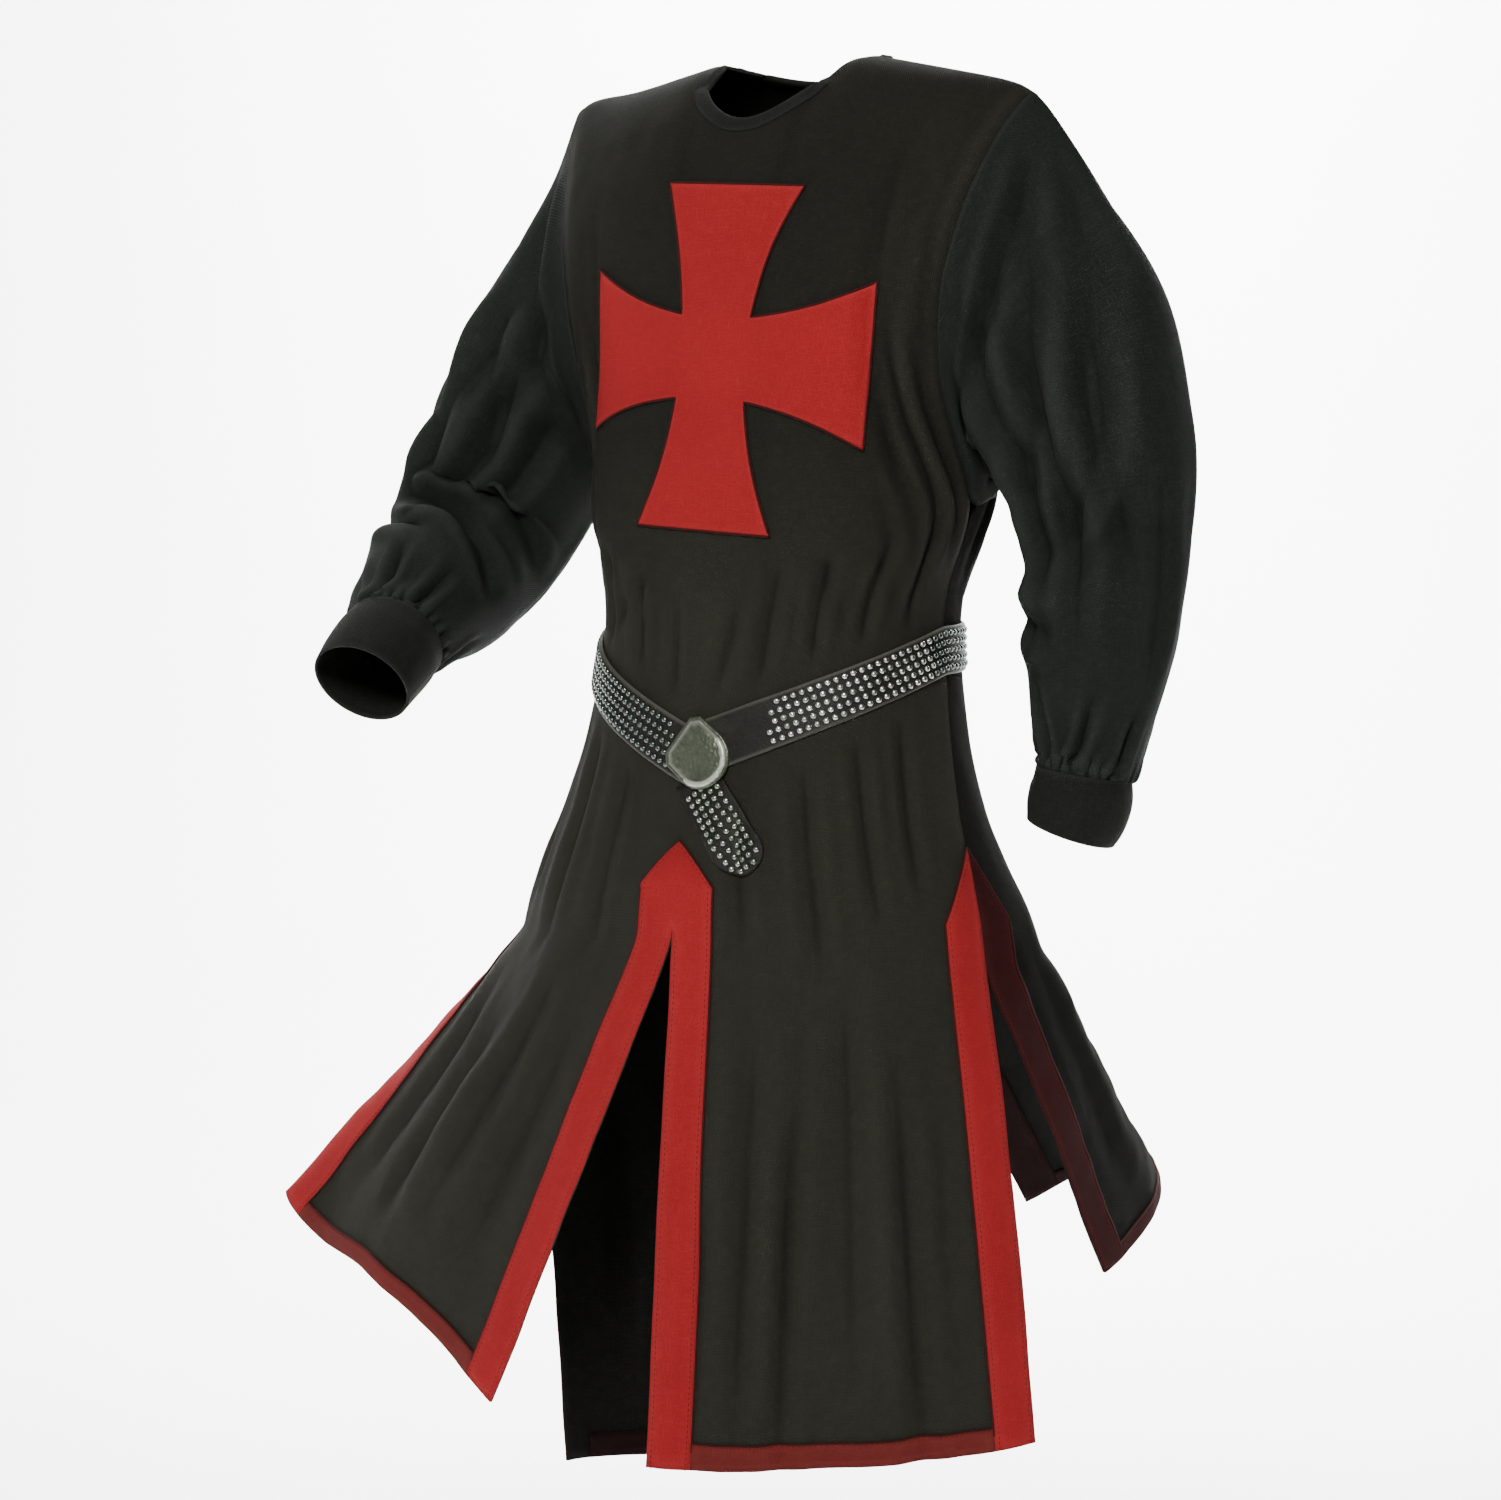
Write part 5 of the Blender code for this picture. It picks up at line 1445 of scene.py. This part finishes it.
def make_cloth():
    """Every cloth and thread; a cloth has its colour, a light one and a deep one."""
    return {
        "dark": woven("surcoat_cloth", (0.0090, 0.0090, 0.0064), (0.0265, 0.0262, 0.0195),
                      (0.0060, 0.0060, 0.0043), fades=True),
        "sleeve": woven("sleeve_cloth", (0.0085, 0.0100, 0.0086), (0.025, 0.029, 0.025),
                        (0.0056, 0.0068, 0.0058)),
        # The back panels' cloth: the surcoat cloth darkened as painted shade.
        "back": woven("back_cloth", (0.0050, 0.0050, 0.0042), (0.0142, 0.0140, 0.0118),
                      (0.0035, 0.0035, 0.0029), dim=True),
        # The back's slit bands and hem bands: the red cloth darkened as painted shade.
        "back_red": woven("back_band_cloth", (0.028, 0.0056, 0.0058), (0.043, 0.0115, 0.0107),
                          (0.020, 0.0042, 0.0042), red=True, dim=True),
        # The facings inside the hems and the back slit: the dark red cloth darkened as painted shade.
        "facing": woven("facing_cloth", (0.0085, 0.0034, 0.0034), (0.0160, 0.0064, 0.0062),
                        (0.0062, 0.0027, 0.0026), red=True, dim=True),
        "cuff": woven("cuff_cloth", (0.0072, 0.0077, 0.0062), (0.0210, 0.0225, 0.0190),
                      (0.0050, 0.0048, 0.0040)),
        "red": woven("red_cloth_plain", (0.240, 0.0088, 0.0105), (0.315, 0.025, 0.026),
                     (0.195, 0.0072, 0.0085), red=True),
        "maroon": woven("dark_red_cloth_plain", (0.095, 0.010, 0.009), (0.15, 0.025, 0.020),
                        (0.070, 0.0075, 0.007), red=True),
        "edging": thread("maroon_satin_stitch", (0.040, 0.006, 0.005)),
        "red_thread": thread("red_thread", (0.17, 0.010, 0.008)),
        "dark_thread": thread("dark_thread", (0.030, 0.029, 0.024)),
    }


def make_cross(sheets, cloth):
    """The cross with its edging and stitches."""
    surface = Surface(sheets, OVER + CROSS_LIFT)
    build = Build()
    for pattern in cross_patterns():
        grid = on_chest(surface, pattern)
        build.grid(grid, turned=grid_normals(grid)[CROSS_CELLS // 2, CROSS_CELLS // 2][1] >= 0.0)
    cross = build.sew("chest_cross_sewn", cloth["red"], "red_cloth", ["chest_cross"], TRIM)
    edge = on_chest(surface, cross_edge(0.0))
    build = Build()
    build.tube(edge + surface.outward(edge) * CROSS_EDGING_SEAT, EDGING_RADIUS, closed=True)
    edging = build.sew("cross_edging", cloth["edging"], "dark_red_cloth")
    surface = Surface(sheets, OVER + TRIM)
    line = on_chest(surface, cross_edge(CROSS_SEAM_INSET))
    build = Build()
    stitches(build, np.concatenate([line, line[:1]]), surface.tree)
    return [cross, edging, build.sew("cross_stitches", cloth["red_thread"], "red_cloth", weld=False)]


def make_bands(sheets, cloth):
    """Red bands at the slits, dark red hem bands and facings, their edging and stitches; on the back panels
    the bands and hem bands, and every facing, are darkened as painted shade.
    """
    made = {"front": [], "back": []}
    edging, seams = Build(), Build()
    tree = whole_tree(sheets, OVER + TRIM)
    inset = STITCH_INSET * BAND_CELLS
    for side, first, second in SLITS:
        legs = ((first, True), (second, False))
        nodes = ["slit_band_" + side]
        # Legs on the back panels take the red darkened as painted shade.
        for home, colour in (("front", "red"), ("back", "back_red")):
            own = [leg for leg in legs if leg[0].startswith(home)]
            if own:
                name = "band_" + side + ("_" + home if len(own) == 1 else "")
                made[home].append(slit_band(name, own, sheets, cloth[colour], "red_cloth", OVER, nodes))
                nodes = []
        edging.tube(band_edge(legs, sheets, OVER + EDGING_SEAT)[2:-2], EDGING_RADIUS)
        stitches(seams, band_edge(legs, sheets, OVER + TRIM, STITCH_INSET), tree)
        for panel, at_last in legs:
            first_row = sheets[panel].slit_row + 2
            stitches(seams, sheets[panel].from_edge(at_last, first_row, inset, OVER + TRIM), tree)
    # The back slit's facing, in the dark red darkened as painted shade.
    made["back"].append(slit_band("facing_back_slit", (("back_left", True), ("back_right", False)), sheets,
                                  cloth["facing"], "dark_red_cloth", UNDER, ["slit_facing_back"]))
    for panel, sheet in sheets.items():
        home = panel.split("_")[0]
        # Hem bands on the back take the red darkened as painted shade; facings take the dark red darkened as
        # painted shade.
        outer = "maroon" if home == "front" else "back_red"
        for kind, lift, colour in (("hem_band_", OVER, outer), ("hem_facing_", UNDER, "facing")):
            build = Build(sheet.hem_strip(lift))
            made[home].append(build.sew("sewn_" + kind + panel, cloth[colour], "dark_red_cloth",
                                        [kind + panel], TRIM))
        edging.tube(sheet.hem_strip(OVER + EDGING_SEAT)[0], EDGING_RADIUS)
        strip = sheet.hem_strip(OVER + TRIM)
        stitches(seams, (1.0 - HEM_STITCH) * strip[0] + HEM_STITCH * strip[1], tree)
    made["front"].append(edging.sew("band_edging", cloth["edging"], "dark_red_cloth"))
    made["front"].append(seams.sew("band_stitches", cloth["red_thread"], "red_cloth", weld=False))
    return made


def make_arms(sheets, cloth):
    """Sleeves, and cuffs with their stitches."""
    for side, *tables in (("left", ARM_LEFT, FOLDS_LEFT, CREASES_LEFT),
                          ("right", ARM_RIGHT, FOLDS_RIGHT, CREASES_RIGHT)):
        sleeve, cuff, outer = arm_grids(sheets, side, *tables)
        left = side == "left"
        build = Build(sleeve, closed=True, turned=left)
        piece = build.sew("sleeve_cloth_" + side, cloth["sleeve"], "dark_cloth", ["sleeve_" + side], CLOTH)
        build = Build(cuff, closed=True, turned=left)
        piece = build.sew("cuff_cloth_" + side, cloth["cuff"], "dark_cloth", ["cuff_" + side], CUFF_WALL)
        outer, seams = closed_up(outer), Build()
        tree = search_tree([outer], (3, 0, 1, 2) if left else (2, 1, 0, 3))
        for row in CUFF_SEAMS:
            stitches(seams, outer[row], tree)
        seam = seams.sew("cuff_stitches_" + side, cloth["dark_thread"], "dark_cloth", weld=False)


def make_belt(sheets):
    """Strap, free end, buckle and studs."""
    hide = belt_hide()
    nickel = stud_metal("stud_nickel", (0.74, 0.75, 0.72), (0.22, 0.23, 0.19))
    # The other studs: the nickel darkened as painted shade.
    nickel_in_painted_shade = stud_metal("stud_tarnished", (0.34, 0.37, 0.31), (0.11, 0.13, 0.10), (0.085, 0.105, 0.098))
    plate = buckle_metal("buckle_pewter", (0.033, 0.039, 0.025), (0.080, 0.090, 0.062))
    # The rim: the plate's pewter made far paler as a painted highlight.
    rim = buckle_metal("rim_pewter", (0.26, 0.27, 0.22), (0.48, 0.49, 0.42))
    belt_strap(sheets, hide)
    surface = Surface(sheets, OVER)
    belt_tongue(surface, hide)
    # dull gathers the studs in painted shade.
    bright, dull = Build(), Build()
    strap_studs(sheets, bright, dull)
    tongue_studs(surface, dull)
    bright.sew("belt_studs", nickel, "buckle_metal", weld=False)
    dull.sew("belt_studs_dull", nickel_in_painted_shade, "buckle_metal", weld=False)
    buckle_plate(surface, plate)
    buckle_rim(surface, rim)


sheets = {panel.name: PanelSheet(panel) for panel in PANELS}
dress(sheets)
cloth = make_cloth()
front = cloth_body("front", sheets, cloth["dark"])
# The back panels in the cloth darkened as painted shade.
back = cloth_body("back", sheets, cloth["back"])
trims = make_bands(sheets, cloth)
binding = neck_binding(sheets, cloth["cuff"])
trims["front"] + make_cross(sheets, cloth) + [binding]
make_arms(sheets, cloth)
make_belt(sheets)
sweep(studio_surface("studio_white", (0.94, 0.94, 0.935)))
set_camera()
set_lights()
